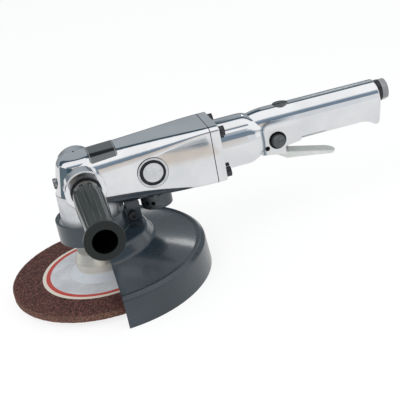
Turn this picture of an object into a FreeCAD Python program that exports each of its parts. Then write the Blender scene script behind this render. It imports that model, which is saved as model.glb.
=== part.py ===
"""A lever-throttle pneumatic angle grinder with a depressed-centre wheel of 178 mm.

The spindle stands on +Z, the air motor and the handle lie along +X, and the side handle points to -Y.
The origin is on the spindle axis, in the plane of the wheel's grinding face. All sizes are in millimetres.
"""
import FreeCAD
import Part

import math
import os

# Driving sizes
MOTOR_AXIS_Z = 98.4        # height of the motor axis over the grinding face
WHEEL_RADIUS = 89.0
HANDLE_LENGTH = 174.0      # from the rear face of the housing to the rear face of the handle
CUT_OVERRUN = 1.0          # how far every cutting tool runs past the face it cuts
RUN_GAP = 0.05             # radial clearance of a shaft in its hole
FIT_GAP = 0.1              # radial clearance of a piece that sits still in its bore
SLIP_GAP = 0.3             # clearance between pieces that move past each other

# Grinding wheel, its label, its flange and its nut
WHEEL_THICKNESS = 6.35
WHEEL_BORE_RADIUS = 11.12
HUB_LIFT = 5.2             # how far the depressed centre stands above the grinding face
HUB_TOP_RADIUS = 27.0
HUB_FOOT_RADIUS = 33.0
HUB_SHIFT = 3.0            # how much smaller the hub's hollow is than its outside
LABEL_RADIUS = 59.6
LABEL_THICKNESS = 0.2
FLANGE_RADIUS = 24.5
FLANGE_RIM = 8.0
FLANGE_THICKNESS = 18.0
FLANGE_TOP_RADIUS = 20.5
FLANGE_NECK_RADIUS = 14.0
NUT_RADIUS = 19.0
NUT_FLANGE_THICKNESS = 3.0
NUT_PILOT_LENGTH = 4.5
NUT_CHAMFER = 1.0
NUT_PIN_HOLE_RADIUS = 2.5
NUT_PIN_CIRCLE_RADIUS = 14.5

# Spindle
SPINDLE_THREAD_RADIUS = 7.94
SPINDLE_JOURNAL_RADIUS = 8.5
SPINDLE_COLLAR_RADIUS = 11.5
SPINDLE_GEAR_SEAT_RADIUS = 8.0
SPINDLE_TOP_RADIUS = 6.0
SPINDLE_CHAMFER = 1.0

# Bevel gears: the spindle wheel and the motor pinion share one pitch apex on the spindle axis
GEAR_TEETH = 25
PINION_TEETH = 12
GEAR_PITCH_RADIUS = 18.0
GEAR_FACE_WIDTH = 6.0
GEAR_BACK_DEPTH = 5.0      # metal behind the outer pitch circle of the spindle wheel
PINION_BACK_DEPTH = 3.0
PINION_BORE_RADIUS = 3.6
PRESSURE_ANGLE = 20.0
PINION_ADDENDUM_SHARE = 1.0
GEAR_ADDENDUM_SHARE = 0.75
DEDENDUM_SHARE = 1.3
BACKLASH = 0.3
FLANK_STEPS = 2

# Bearings: outer radius, bore radius, width and balls
LOWER_BEARING_RADIUS = 20.0
LOWER_BEARING_WIDTH = 12.0
LOWER_BEARING_BALL_RADIUS = 3.4
LOWER_BEARING_BALLS = 9
ROTOR_BEARING_RADIUS = 14.0
ROTOR_BEARING_WIDTH = 8.0
RING_WALL_SHARE = 0.28     # each ring's share of the space between bore and outside
BUSH_RADIUS = 9.5
BUSH_HEIGHT = 8.0
SNAP_RING_GROOVE = 1.0
SNAP_RING_THICKNESS = 1.4
SNAP_RING_WIDTH = 3.2
SNAP_RING_OPENING = 6.0

# Bearing cap, the plain neck under the gear head
CAP_TOP_Z = 91.5
CAP_LEDGE = 0.4            # how far the neck stands out under the head
CAP_DRAFT = 1.2
CAP_STEP_Z = 62.0          # where the neck meets the spigot that carries the guard
CAP_SHOULDER = 2.8         # from the neck's foot out to the spigot
CAP_BOTTOM_Z = 46.0
CAP_LAND = 2.5             # bearing bore left above the bearing
LOWER_BEARING_Z = 62.0
SEAL_RADIUS = 16.0
SEAL_HEIGHT = 7.0
CAP_EDGE_FILLET = 1.2
CAP_GASKET = 0.6

# Gear head: a drafted round tower in front of the motor housing
HEAD_TOP_Z = 124.7
HEAD_WALL = 3.9
HEAD_TOP_RADIUS = 18.5
HEAD_CROWN_FILLET = 8.0
CHAMBER_GAP = 0.3          # round the back of the pinion
PINION_BACK_SHARE = 0.6    # radius of the pinion's back against its pitch radius
HEAD_SHOULDER_Z = 96.0     # top of the wide part of the gear chamber
HEAD_THROAT_RADIUS = 14.0
HEAD_THROAT_Z = 111.0      # where the chamber has narrowed to its throat
PINION_TUNNEL_RADIUS = 13.0
GREASE_PLUG_RADIUS = 5.0
GREASE_PLUG_HEAD = 3.0
GREASE_PLUG_SHANK_RADIUS = 3.0
GREASE_PLUG_RISE = 3.6     # above the motor axis
GREASE_PLUG_SLOT = 1.2
GREASE_PLUG_LAND = 0.9     # wall left between the plug's seat and the gear chamber

# Motor housing: rounded squares as (half size, corner's reach across, corner's reach down)
HOUSING_START_X = 0.0
HOUSING_FRONT = (26.2, 19.6, 19.6)
HOUSING_HEAD_END_X = 37.0
HOUSING_HEAD_END = (26.8, 16.3, 16.3)
HOUSING_MIDDLE_X = 73.0
HOUSING_MIDDLE = (27.6, 13.2, 12.0)
HOUSING_REAR_LENGTH = 20.0
HOUSING_REAR = (28.0, 9.8, 6.6)
HOUSING_FLANGE = (28.0, 7.6, 5.0)
HOUSING_UNDERCUT_X = 12.0  # the body hangs below the seam only behind this place
MOTOR_BORE_RADIUS = 24.3
MOTOR_BORE_X = 44.0
FLANGE_SCREW_OFFSET = 20.5
FLANGE_SCREW_RADIUS = 2.5
FLANGE_SCREW_HEAD_RADIUS = 4.8
FLANGE_SCREW_HEAD = 5.5
FLANGE_SCREW_DEPTH = 13.0
FLANGE_SCREW_SOCKET_FLATS = 4.0
FLANGE_SCREW_SOCKET = 3.0

# Name plate and badge
PLATE_THICKNESS = 0.5
PLATE_X = 10.5
PLATE_END_X = 36.5
PLATE_FAR_Y = 13.0
PLATE_NEAR_Y = -21.0
PLATE_CORNER = 2.2
BADGE_THICKNESS = 0.6
BADGE_RADIUS = 13.4
BADGE_X = 63.5
BADGE_RISE = 0.6           # above the motor axis

# Side handle and the two bosses on the gear head
SIDE_HANDLE_Z = 102.0
BOSS_RADIUS = 19.0
BOSS_FACE_Y = 38.0
BOSS_ROOT_Y = 23.5
BOSS_FILLET = 1.2
SOCKET_RADIUS = 6.9
SOCKET_DEPTH = 14.0
STUD_IN_GRIP = 32.0
COLLAR_RADIUS = 14.2
COLLAR_THICKNESS = 3.0
GRIP_LENGTH = 107.0
GRIP_NECK_RADIUS = 12.6
GRIP_BODY_RADIUS = 13.4
GRIP_WAIST_RADIUS = 12.6
GRIP_END_RADIUS = 16.8
GRIP_END_THICKNESS = 5.0
GRIP_END_FILLET = 1.2
GRIP_HOLLOW_RADIUS = 10.3
GRIP_HOLLOW_DEPTH = 62.0
GRIP_SHOULDER_SHARE = 0.1
GRIP_BELLY_SHARE = 0.45
FLUTE_COUNT = 10
FLUTE_RADIUS = 2.6
FLUTE_DEPTH = 1.1
FLUTE_START_SHARE = 0.1
FLUTE_END_SHARE = 0.84

# Air motor
LINER_BORE_RADIUS = 20.8
LINER_OFFSET = 1.3         # the cylinder is bored this far below the rotor's axis
ROTOR_RADIUS = 19.0
ROTOR_SHAFT_RADIUS = 6.0
END_PLATE_THICKNESS = 10.0
LINER_LENGTH = 44.0
ROTOR_END_GAP = 0.2
VANE_COUNT = 5
VANE_THICKNESS = 2.4
VANE_DEPTH = 9.0
VANE_GAP = 0.1
PORT_COUNT = 4
PORT_RADIUS = 3.0
SPIGOT_LENGTH = 14.0       # from the motor's rear end plate to the joint with the handle

# Exhaust boss and its swivelling deflector under the motor housing
EXHAUST_X = 65.0
EXHAUST_BOSS_RADIUS = 14.4
EXHAUST_FACE_Z = 70.0
EXHAUST_BORE_RADIUS = 9.5
DEFLECTOR_RADIUS = 15.2
DEFLECTOR_HEIGHT = 13.5
DEFLECTOR_WALL = 2.0
DEFLECTOR_FILLET = 1.0
DEFLECTOR_PORTS = 3
DEFLECTOR_PORT_SPACING = 24.0
DEFLECTOR_PORT_START = 200.0
DEFLECTOR_PORT_RADIUS = 2.0
DEFLECTOR_POST_RADIUS = 4.5
DEFLECTOR_SCREW_RADIUS = 2.0
DEFLECTOR_SCREW_HEAD_RADIUS = 3.6
DEFLECTOR_SCREW_HEAD = 1.8
BRIDGE_WIDTH = 7.0
BRIDGE_THICKNESS = 4.0

# Guard: its outside from the collar to the rim
GUARD_HAT_RADIUS = 50.0
GUARD_HAT_Z = 45.0
GUARD_STEP_RADIUS = 56.0
GUARD_STEP_Z = 34.0
GUARD_CONE_RADIUS = 95.5
GUARD_CONE_Z = 22.2
GUARD_BEAD_RADIUS = 98.6    # crest of the bead that runs round between cone and skirt
GUARD_BEAD_Z = 23.8
GUARD_SHOULDER_RADIUS = 103.2
GUARD_SHOULDER_Z = 20.0
GUARD_HAT_FILLET = 5.0
GUARD_FOLD_FILLET = 2.4
GUARD_RADIUS = 105.0
GUARD_RIM_Z = -6.0
GUARD_WALL = 2.0
GUARD_CUT_X = 5.0
GUARD_COLLAR_TOP_Z = 65.0
GUARD_COLLAR_BOTTOM_Z = 47.0
GUARD_COLLAR_WALL = 2.6
GUARD_FIT_GAP = 0.25
LUG_THICKNESS = 4.0
LUG_SLOT = 3.0
LUG_REACH = 12.0
LUG_HEIGHT = 14.0
CLAMP_SCREW_RADIUS = 2.5
CLAMP_HEAD_RADIUS = 4.3
CLAMP_HEAD = 4.2
CLAMP_NUT_RADIUS = 4.6
CLAMP_NUT = 4.0

# Handle casting: flange, round barrel, then a grip whose section is wide above and narrow below.
# Each reach is measured along X from the rear face of the motor housing.
GASKET = 0.8
HANDLE_FLANGE = 8.7
SPIGOT_WALL = 3.2
BARREL_RADIUS = 24.8
BARREL_END_REACH = 40.0
BARREL_NOSE_RADIUS = 19.0
BARREL_NOSE_REACH = 53.0
GRIP_TOP_Z = 123.8
GRIP_FOOT_Z = 84.0
GRIP_TOP_RADIUS = 16.5
GRIP_FOOT_RADIUS = 11.0
GRIP_ROOT_REACH = 38.0
GRIP_ROOT_SHARE = 0.76     # the grip's section where it leaves the barrel, against its full size
GRIP_SHOULDER_REACH = 48.0
GRIP_NEAR_SHARE = 0.92
GRIP_FULL_REACH = 60.0
GRIP_BLEND = 6.0           # straight run that makes each blend leave smoothly
FLARE_LENGTH = 16.0
FLARE_MIDDLE_LENGTH = 8.0
HANDLE_END_FILLET = 1.6
HANDLE_FLANGE_FILLET = 1.0
FLARE_MIDDLE_SHARE = 0.3
FLARE_DROP = 7.8
VALVE_BLOCK_REACH = 49.0
VALVE_BLOCK_END_REACH = 90.0
VALVE_BLOCK_FOOT_Z = 86.0
VALVE_BLOCK_REAR_Z = 88.0
VALVE_BLOCK_CORNER = 3.0
EAR_END_REACH = 73.0
EAR_FRONT_Z = 82.4
EAR_FOOT_Z = 78.2
EAR_CORNER = 1.5
SLOT_HALF_WIDTH = 9.0
SLOT_ROOF_Z = 84.0
EYE_POCKET_END_REACH = 62.0
EYE_POCKET_ROOF_Z = 92.6
WEB_POCKET_END_REACH = 73.0   # room for the lever's shoulder when it is pressed
WEB_POCKET_ROOF_Z = 88.4
PASSAGE_RADIUS = 4.5

# Air inlet
INLET_RISE = 13.2          # above the motor axis
INLET_SEAT_RADIUS = 9.0
INLET_SEAT_DEPTH = 14.0
INLET_COLLAR_RADIUS = 10.5
INLET_COLLAR_THICKNESS = 5.4
INLET_HEX_FLATS = 19.0
INLET_HEX_LENGTH = 6.4
INLET_THREAD_RADIUS = 7.6
INLET_THREAD_DEPTH = 12.0
INLET_CHAMFER = 1.2
STRAINER_RADIUS = 5.4
STRAINER_WALL = 0.8
STRAINER_LENGTH = 12.0

# Throttle lever, valve and regulator
LEVER_PIVOT_REACH = 55.0
LEVER_PIVOT_Z = 88.0
LEVER_PIN_RADIUS = 2.4
LEVER_PIN_RECESS = 2.2
LEVER_EYE_RADIUS = 4.2
LEVER_HALF_WIDTH = 8.5
LEVER_SHEET = 1.6
LEVER_WEB_REACH = 67.0        # the top plate starts here, clear of the pocket round the eyes
LEVER_WEB_RUN = 8.0           # from there to the bend
LEVER_BEND_REACH = LEVER_WEB_REACH + LEVER_WEB_RUN
LEVER_BEND_Z = 77.0
LEVER_TIP_REACH = 127.0
LEVER_TIP_Z = 64.5
LEVER_ROOT_DEPTH = 6.5
LEVER_TIP_DEPTH = 2.4
VALVE_REACH = 78.0
VALVE_STEM_RADIUS = 2.5
VALVE_SEAT_RISE = 4.8      # of the valve's seat above the motor axis
VALVE_HEAD_RADIUS = 6.2
VALVE_HEAD_THICKNESS = 4.0
VALVE_CHAMBER_RADIUS = 7.0
VALVE_CAP_RADIUS = 7.5
VALVE_CAP_THICKNESS = 4.6
VALVE_CAP_SLOT = 1.6
SPRING_COIL_RADIUS = 4.2
SPRING_WIRE_RADIUS = 0.45
SPRING_TURNS = 3
REGULATOR_PLACE = 66.0
REGULATOR_Z = 94.0
REGULATOR_STEM_RADIUS = 3.4
REGULATOR_HEAD_RADIUS = 6.4
REGULATOR_WELL_RADIUS = 8.7
REGULATOR_WELL_DEPTH = 2.0
REGULATOR_PROUD = 5.0
REGULATOR_REACH = 20.0
REGULATOR_CHAMFER = 0.8

# Places worked out from the sizes above
WHEEL_TOP_Z = HUB_LIFT + WHEEL_THICKNESS
FLANGE_TOP_Z = WHEEL_TOP_Z + FLANGE_THICKNESS
SPINDLE_SHOULDER_Z = CAP_BOTTOM_Z - SLIP_GAP
PINION_PITCH_RADIUS = GEAR_PITCH_RADIUS * PINION_TEETH / GEAR_TEETH
PINION_BACK_X = GEAR_PITCH_RADIUS + PINION_BACK_DEPTH
PINION_BACK_RADIUS = PINION_PITCH_RADIUS * PINION_BACK_SHARE
HEAD_CHAMBER_RADIUS = math.hypot(PINION_BACK_X, PINION_BACK_RADIUS) + CHAMBER_GAP
HEAD_FOOT_RADIUS = HEAD_CHAMBER_RADIUS + HEAD_WALL
CAP_TOP_RADIUS = HEAD_FOOT_RADIUS + CAP_LEDGE
CAP_FOOT_RADIUS = CAP_TOP_RADIUS + CAP_DRAFT
CAP_SPIGOT_RADIUS = CAP_FOOT_RADIUS + CAP_SHOULDER
GREASE_PLUG_LAND_X = -HEAD_CHAMBER_RADIUS - GREASE_PLUG_LAND
GEAR_CONE_LENGTH = math.hypot(GEAR_PITCH_RADIUS, PINION_PITCH_RADIUS)
GEAR_INNER_SCALE = 1 - GEAR_FACE_WIDTH / GEAR_CONE_LENGTH
GEAR_BACK_Z = MOTOR_AXIS_Z - PINION_PITCH_RADIUS - GEAR_BACK_DEPTH
LOWER_BEARING_TOP_Z = LOWER_BEARING_Z + LOWER_BEARING_WIDTH
BUSH_Z = HEAD_THROAT_Z
LINER_RADIUS = MOTOR_BORE_RADIUS - FIT_GAP
LINER_X = MOTOR_BORE_X + END_PLATE_THICKNESS
REAR_PLATE_X = LINER_X + LINER_LENGTH
MOTOR_END_X = REAR_PLATE_X + END_PLATE_THICKNESS
HOUSING_END_X = MOTOR_END_X + SPIGOT_LENGTH
HOUSING_REAR_X = HOUSING_END_X - HOUSING_REAR_LENGTH
HANDLE_END_X = HOUSING_END_X + HANDLE_LENGTH
HANDLE_FLANGE_X = HOUSING_END_X + GASKET
BARREL_X = HANDLE_FLANGE_X + HANDLE_FLANGE
BARREL_END_X = HOUSING_END_X + BARREL_END_REACH
BARREL_NOSE_X = HOUSING_END_X + BARREL_NOSE_REACH
GRIP_ROOT_X = HOUSING_END_X + GRIP_ROOT_REACH
GRIP_SHOULDER_X = HOUSING_END_X + GRIP_SHOULDER_REACH
GRIP_FULL_X = HOUSING_END_X + GRIP_FULL_REACH
VALVE_BLOCK_X = HOUSING_END_X + VALVE_BLOCK_REACH
VALVE_BLOCK_END_X = HOUSING_END_X + VALVE_BLOCK_END_REACH
EAR_END_X = HOUSING_END_X + EAR_END_REACH
EYE_POCKET_END_X = HOUSING_END_X + EYE_POCKET_END_REACH
WEB_POCKET_END_X = HOUSING_END_X + WEB_POCKET_END_REACH
LEVER_PIVOT_X = HOUSING_END_X + LEVER_PIVOT_REACH
LEVER_BEND_X = HOUSING_END_X + LEVER_BEND_REACH
LEVER_TIP_X = HOUSING_END_X + LEVER_TIP_REACH
LEVER_WEB_X = HOUSING_END_X + LEVER_WEB_REACH
VALVE_X = HOUSING_END_X + VALVE_REACH
REGULATOR_X = HOUSING_END_X + REGULATOR_PLACE
FLARE_START_X = HANDLE_END_X - FLARE_LENGTH
FLARE_MIDDLE_X = HANDLE_END_X - FLARE_MIDDLE_LENGTH
COLLAR_BORE_RADIUS = CAP_SPIGOT_RADIUS + GUARD_FIT_GAP
COLLAR_OUTER_RADIUS = COLLAR_BORE_RADIUS + GUARD_COLLAR_WALL
INLET_Z = MOTOR_AXIS_Z + INLET_RISE
VALVE_SEAT_Z = MOTOR_AXIS_Z + VALVE_SEAT_RISE
VALVE_CAP_Z = GRIP_TOP_Z - VALVE_CAP_THICKNESS
STUD_RADIUS = SOCKET_RADIUS - FIT_GAP

UP = FreeCAD.Vector(0, 0, 1)
ALONG = FreeCAD.Vector(1, 0, 0)
ACROSS = FreeCAD.Vector(0, 1, 0)
MIDDLE = FreeCAD.Vector(0, 0, 0)
MOTOR_AXIS = FreeCAD.Vector(0, 0, MOTOR_AXIS_Z)


def point(x, y, z):
    return FreeCAD.Vector(x, y, z)


def rod_x(radius, start, end, y=0, z=MOTOR_AXIS_Z):
    """A round bar along X from start to end."""
    return Part.makeCylinder(radius, end - start, point(start, y, z), ALONG)


def rod_y(radius, start, end, x, z):
    """A round bar along Y from start to end."""
    return Part.makeCylinder(radius, end - start, point(x, start, z), ACROSS)


def rod_z(radius, start, end, x=0, y=0):
    """A round bar along Z from start to end."""
    return Part.makeCylinder(radius, end - start, point(x, y, start), UP)


def block(x0, x1, y0, y1, z0, z1):
    """A box between two corners."""
    return Part.makeBox(x1 - x0, y1 - y0, z1 - z0, point(x0, y0, z0))


def turned_z(outline):
    """A solid of revolution about Z from an outline of (radius, height)."""
    wire = Part.makePolygon([point(r, 0, z) for r, z in [*outline, outline[0]]])
    return Part.Face(wire).revolve(MIDDLE, UP, 360)


def turned_x(outline, z=MOTOR_AXIS_Z):
    """A solid of revolution about the X line at height z from an outline of (x, radius)."""
    wire = Part.makePolygon([point(x, 0, z + r) for x, r in [*outline, outline[0]]])
    return Part.Face(wire).revolve(point(0, 0, z), ALONG, 360)


def plate_y(outline, start, thickness):
    """A flat plate from an outline of (x, z), standing across Y."""
    corners = [point(x, start, z) for x, z in outline]
    return Part.Face(Part.makePolygon([*corners, corners[0]])).extrude(point(0, thickness, 0))


def section_arc(x, y, z, radius, start, end):
    """An arc in the plane of one x, round (y, z), between two angles in degrees from +Y."""
    places = []
    for angle in (start, (start + end) / 2, end):
        turn = math.radians(angle)
        places.append(point(x, y + radius * math.cos(turn), z + radius * math.sin(turn)))
    return Part.Arc(*places).toShape()


def joined(arcs):
    """A closed wire through arcs, with straight lines between them."""
    edges = []
    for n, arc in enumerate(arcs):
        edges.append(arc)
        end = arc.valueAt(arc.LastParameter)
        following = arcs[(n + 1) % len(arcs)]
        start = following.valueAt(following.FirstParameter)
        if end.distanceToPoint(start) > RUN_GAP:
            edges.append(Part.LineSegment(end, start).toShape())
    return Part.Wire(edges)


def quarter(start, corner, end):
    """A quarter of an ellipse from start to end, inside their corner."""
    curve = Part.BSplineCurve()
    curve.buildFromPolesMultsKnots([start, corner, end], [3, 3], [0, 1], False, 2, [1, math.sqrt(0.5), 1])
    return curve.toShape()


def rounded_square(x, half, across, down, z=MOTOR_AXIS_Z):
    """A square section about the line at height z, its corners rounded wider across than down."""
    flat, upright = half - across, half - down
    corners = []
    for side, rise, turned in ((1, 1, False), (-1, 1, True), (-1, -1, False), (1, -1, True)):
        upper = point(x, side * half, z + rise * upright)
        outer = point(x, side * flat, z + rise * half)
        start, end = (outer, upper) if turned else (upper, outer)
        corners.append(quarter(start, point(x, side * half, z + rise * half), end))
    return joined(corners)


def grip_section(x, scale=1, drop=0):
    """The grip's section: a large arc above and a small arc below, joined by sloping sides."""
    top_radius, foot_radius = GRIP_TOP_RADIUS * scale, GRIP_FOOT_RADIUS * scale
    top_z = GRIP_TOP_Z - (1 - scale) * GRIP_TOP_RADIUS
    high, low = top_z - top_radius, GRIP_FOOT_Z - drop + foot_radius
    lean = math.degrees(math.asin((top_radius - foot_radius) / (high - low)))
    arcs = [
        section_arc(x, 0, high, top_radius, -lean, 90),
        section_arc(x, 0, high, top_radius, 90, 180 + lean),
        section_arc(x, 0, low, foot_radius, 180 + lean, 270),
        section_arc(x, 0, low, foot_radius, 270, 360 - lean),
    ]
    return joined(arcs)


def skin(sections):
    """A smooth solid through closed sections."""
    return Part.makeLoft(sections, True, False)


def frustum(near, far):
    """A solid with flat sides between two similar polygons."""
    count = len(near)
    faces = [Part.Face(Part.makePolygon([*near, near[0]])), Part.Face(Part.makePolygon([*far, far[0]]))]
    for n in range(count):
        m = (n + 1) % count
        faces.append(Part.Face(Part.makePolygon([near[n], near[m], far[m], far[n], near[n]])))
    solid = Part.Solid(Part.Shell(faces))
    if solid.Volume < 0:
        solid.reverse()
    return solid


def hexagon(radius):
    """The corners of a hexagon as (across, up), with a corner straight up."""
    turns = [math.radians(60 * n) for n in range(6)]
    return [(radius * math.sin(turn), radius * math.cos(turn)) for turn in turns]


def hexagon_x(flats, start, end, y, z):
    """A six-sided bar along X."""
    corners = [point(start, y + across, z + up) for across, up in hexagon(flats / math.sqrt(3))]
    return Part.Face(Part.makePolygon([*corners, corners[0]])).extrude(point(end - start, 0, 0))


def around(shape, centre, axis, count):
    """Copies of a shape spaced evenly round an axis."""
    copies = []
    for n in range(count):
        copy = shape.copy()
        copy.rotate(centre, axis, 360 * n / count)
        copies.append(copy)
    return copies


def both_sides(shape):
    """A shape and its mirror image across y = 0."""
    return [shape, shape.mirror(MIDDLE, ACROSS)]


def edges_at(shape, test):
    """The edges whose middle passes a test."""
    return [edge for edge in shape.Edges if test(edge.CenterOfMass)]


def four_corners(shape):
    """A shape repeated at the four corners of the flange."""
    return around(shape, MOTOR_AXIS, ALONG, 4)


def corner_rod(radius, start, end):
    """A bar along X at the upper corner of the flange."""
    return rod_x(radius, start, end, FLANGE_SCREW_OFFSET, MOTOR_AXIS_Z + FLANGE_SCREW_OFFSET)


def bevel_gear(teeth, mate_teeth, pitch_radius, addendum_share, back_depth, bore_radius):
    """A straight bevel gear with its apex at the origin and its body below, the teeth running to the apex."""
    module = 2 * pitch_radius / teeth
    cone = math.atan2(teeth, mate_teeth)
    depth = pitch_radius / math.tan(cone)
    outward = point(math.cos(cone), 0, math.sin(cone))
    pitch_point = point(pitch_radius, 0, -depth)
    virtual = pitch_radius / math.cos(cone)
    base = virtual * math.cos(math.radians(PRESSURE_ANGLE))
    tip, root = virtual + addendum_share * module, virtual - DEDENDUM_SHARE * module
    half_angle = (math.pi * module / 2 - BACKLASH) / (2 * virtual)

    def involute(radius):
        """The involute function at a radius of the virtual gear."""
        angle = math.acos(min(1, base / radius))
        return math.tan(angle) - angle

    def flank(radius):
        """Half the tooth's angle at a radius of the virtual gear."""
        return half_angle + involute(virtual) - involute(max(radius, base))

    low = max(root, base)
    radii = [low + (tip - low) * n / FLANK_STEPS for n in range(FLANK_STEPS + 1)]
    foot = root - module / 4
    side = [(foot, flank(low)), *((r, flank(r)) for r in radii)]
    polar = [(r, -a) for r, a in side] + [(r, a) for r, a in reversed(side)]
    outer = [
        pitch_point + outward * (r * math.cos(a) - virtual) + point(0, r * math.sin(a), 0) for r, a in polar
    ]
    tooth = frustum(outer, [corner * GEAR_INNER_SCALE for corner in outer])
    outer_root = pitch_point - outward * (DEDENDUM_SHARE * module)
    inner_root = outer_root * GEAR_INNER_SCALE
    blank = turned_z(
        (
            (bore_radius, inner_root.z),
            (inner_root.x, inner_root.z),
            (outer_root.x, outer_root.z),
            (outer_root.x, -depth - back_depth),
            (bore_radius, -depth - back_depth),
        )
    )
    return blank.fuse(around(tooth, MIDDLE, UP, teeth))


def bearing_rings(outer, bore, width):
    """The outer and inner ring of a shielded bearing about Z, standing on the origin."""
    wall = (outer - bore) * RING_WALL_SHARE
    low, high = -CUT_OVERRUN, width + CUT_OVERRUN
    outer_ring = rod_z(outer, 0, width).cut(rod_z(outer - wall, low, high))
    inner_ring = rod_z(bore + wall, 0, width).cut(rod_z(bore, low, high))
    return outer_ring, inner_ring


def placed_on_rotor(shape, x):
    """A shape made about Z, turned onto the motor axis with its foot at x."""
    shape.rotate(MIDDLE, ACROSS, 90)
    shape.translate(point(x, 0, MOTOR_AXIS_Z))
    return shape


# The wheel and what turns with it


def grinding_wheel():
    """A depressed-centre wheel whose middle is raised towards the head."""
    return turned_z(
        (
            (WHEEL_BORE_RADIUS, HUB_LIFT),
            (HUB_TOP_RADIUS - HUB_SHIFT, HUB_LIFT),
            (HUB_FOOT_RADIUS - HUB_SHIFT, 0),
            (WHEEL_RADIUS, 0),
            (WHEEL_RADIUS, WHEEL_THICKNESS),
            (HUB_FOOT_RADIUS, WHEEL_THICKNESS),
            (HUB_TOP_RADIUS, WHEEL_TOP_Z),
            (WHEEL_BORE_RADIUS, WHEEL_TOP_Z),
        )
    )


def wheel_label():
    """The printed paper disc on the back of the wheel, outside its raised hub."""
    top = WHEEL_THICKNESS + LABEL_THICKNESS
    return turned_z(
        (
            (HUB_FOOT_RADIUS, WHEEL_THICKNESS),
            (LABEL_RADIUS, WHEEL_THICKNESS),
            (LABEL_RADIUS, top),
            (HUB_FOOT_RADIUS, top),
        )
    )


def backing_flange():
    """The tapered flange between the wheel and the spindle's shoulder."""
    return turned_z(
        (
            (SPINDLE_THREAD_RADIUS, WHEEL_TOP_Z),
            (FLANGE_RADIUS, WHEEL_TOP_Z),
            (FLANGE_RADIUS, WHEEL_TOP_Z + FLANGE_RIM),
            (FLANGE_TOP_RADIUS, FLANGE_TOP_Z),
            (FLANGE_NECK_RADIUS, FLANGE_TOP_Z),
            (FLANGE_NECK_RADIUS, SPINDLE_SHOULDER_Z),
            (SPINDLE_THREAD_RADIUS, SPINDLE_SHOULDER_Z),
        )
    )


def wheel_nut():
    """The round nut that clamps the wheel, with a pilot in its bore and two spanner holes."""
    foot = HUB_LIFT - NUT_FLANGE_THICKNESS
    pilot = WHEEL_BORE_RADIUS - RUN_GAP
    nut = turned_z(
        (
            (SPINDLE_THREAD_RADIUS, foot),
            (NUT_RADIUS - NUT_CHAMFER, foot),
            (NUT_RADIUS, foot + NUT_CHAMFER),
            (NUT_RADIUS, HUB_LIFT),
            (pilot, HUB_LIFT),
            (pilot, HUB_LIFT + NUT_PILOT_LENGTH),
            (SPINDLE_THREAD_RADIUS, HUB_LIFT + NUT_PILOT_LENGTH),
        )
    )
    hole_end = foot + NUT_FLANGE_THICKNESS / 2
    hole = rod_z(NUT_PIN_HOLE_RADIUS, foot - CUT_OVERRUN, hole_end, NUT_PIN_CIRCLE_RADIUS)
    return nut.cut(around(hole, MIDDLE, UP, 2))


def spindle():
    """The stepped output shaft from its threaded tip to its upper journal."""
    top = BUSH_Z + BUSH_HEIGHT
    return turned_z(
        (
            (0, 0),
            (SPINDLE_THREAD_RADIUS - SPINDLE_CHAMFER, 0),
            (SPINDLE_THREAD_RADIUS, SPINDLE_CHAMFER),
            (SPINDLE_THREAD_RADIUS, SPINDLE_SHOULDER_Z),
            (SPINDLE_COLLAR_RADIUS, SPINDLE_SHOULDER_Z),
            (SPINDLE_COLLAR_RADIUS, LOWER_BEARING_Z),
            (SPINDLE_JOURNAL_RADIUS, LOWER_BEARING_Z),
            (SPINDLE_JOURNAL_RADIUS, LOWER_BEARING_TOP_Z),
            (SPINDLE_GEAR_SEAT_RADIUS, LOWER_BEARING_TOP_Z),
            (SPINDLE_GEAR_SEAT_RADIUS, GEAR_BACK_Z + GEAR_BACK_DEPTH),
            (SPINDLE_TOP_RADIUS, GEAR_BACK_Z + GEAR_BACK_DEPTH),
            (SPINDLE_TOP_RADIUS, top - SPINDLE_CHAMFER),
            (SPINDLE_TOP_RADIUS - SPINDLE_CHAMFER, top),
            (0, top),
        )
    )


def gear_spacer():
    """The sleeve that holds the gear off the lower bearing."""
    bore = rod_z(SPINDLE_GEAR_SEAT_RADIUS, LOWER_BEARING_TOP_Z - CUT_OVERRUN, GEAR_BACK_Z + CUT_OVERRUN)
    return rod_z(SPINDLE_COLLAR_RADIUS, LOWER_BEARING_TOP_Z, GEAR_BACK_Z).cut(bore)


def bevel_wheel():
    """The large bevel gear on the spindle, turned half a tooth so that it meshes with the pinion."""
    gear = bevel_gear(
        GEAR_TEETH,
        PINION_TEETH,
        GEAR_PITCH_RADIUS,
        GEAR_ADDENDUM_SHARE,
        GEAR_BACK_DEPTH,
        SPINDLE_GEAR_SEAT_RADIUS,
    )
    gear.rotate(MIDDLE, UP, 180 / GEAR_TEETH)
    gear.translate(MOTOR_AXIS)
    return gear


def bevel_pinion():
    """The small bevel gear on the end of the rotor shaft."""
    pinion = bevel_gear(
        PINION_TEETH,
        GEAR_TEETH,
        PINION_PITCH_RADIUS,
        PINION_ADDENDUM_SHARE,
        PINION_BACK_DEPTH,
        PINION_BORE_RADIUS,
    )
    pinion.rotate(MIDDLE, ACROSS, -90)
    pinion.translate(MOTOR_AXIS)
    return pinion


# The housing


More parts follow.
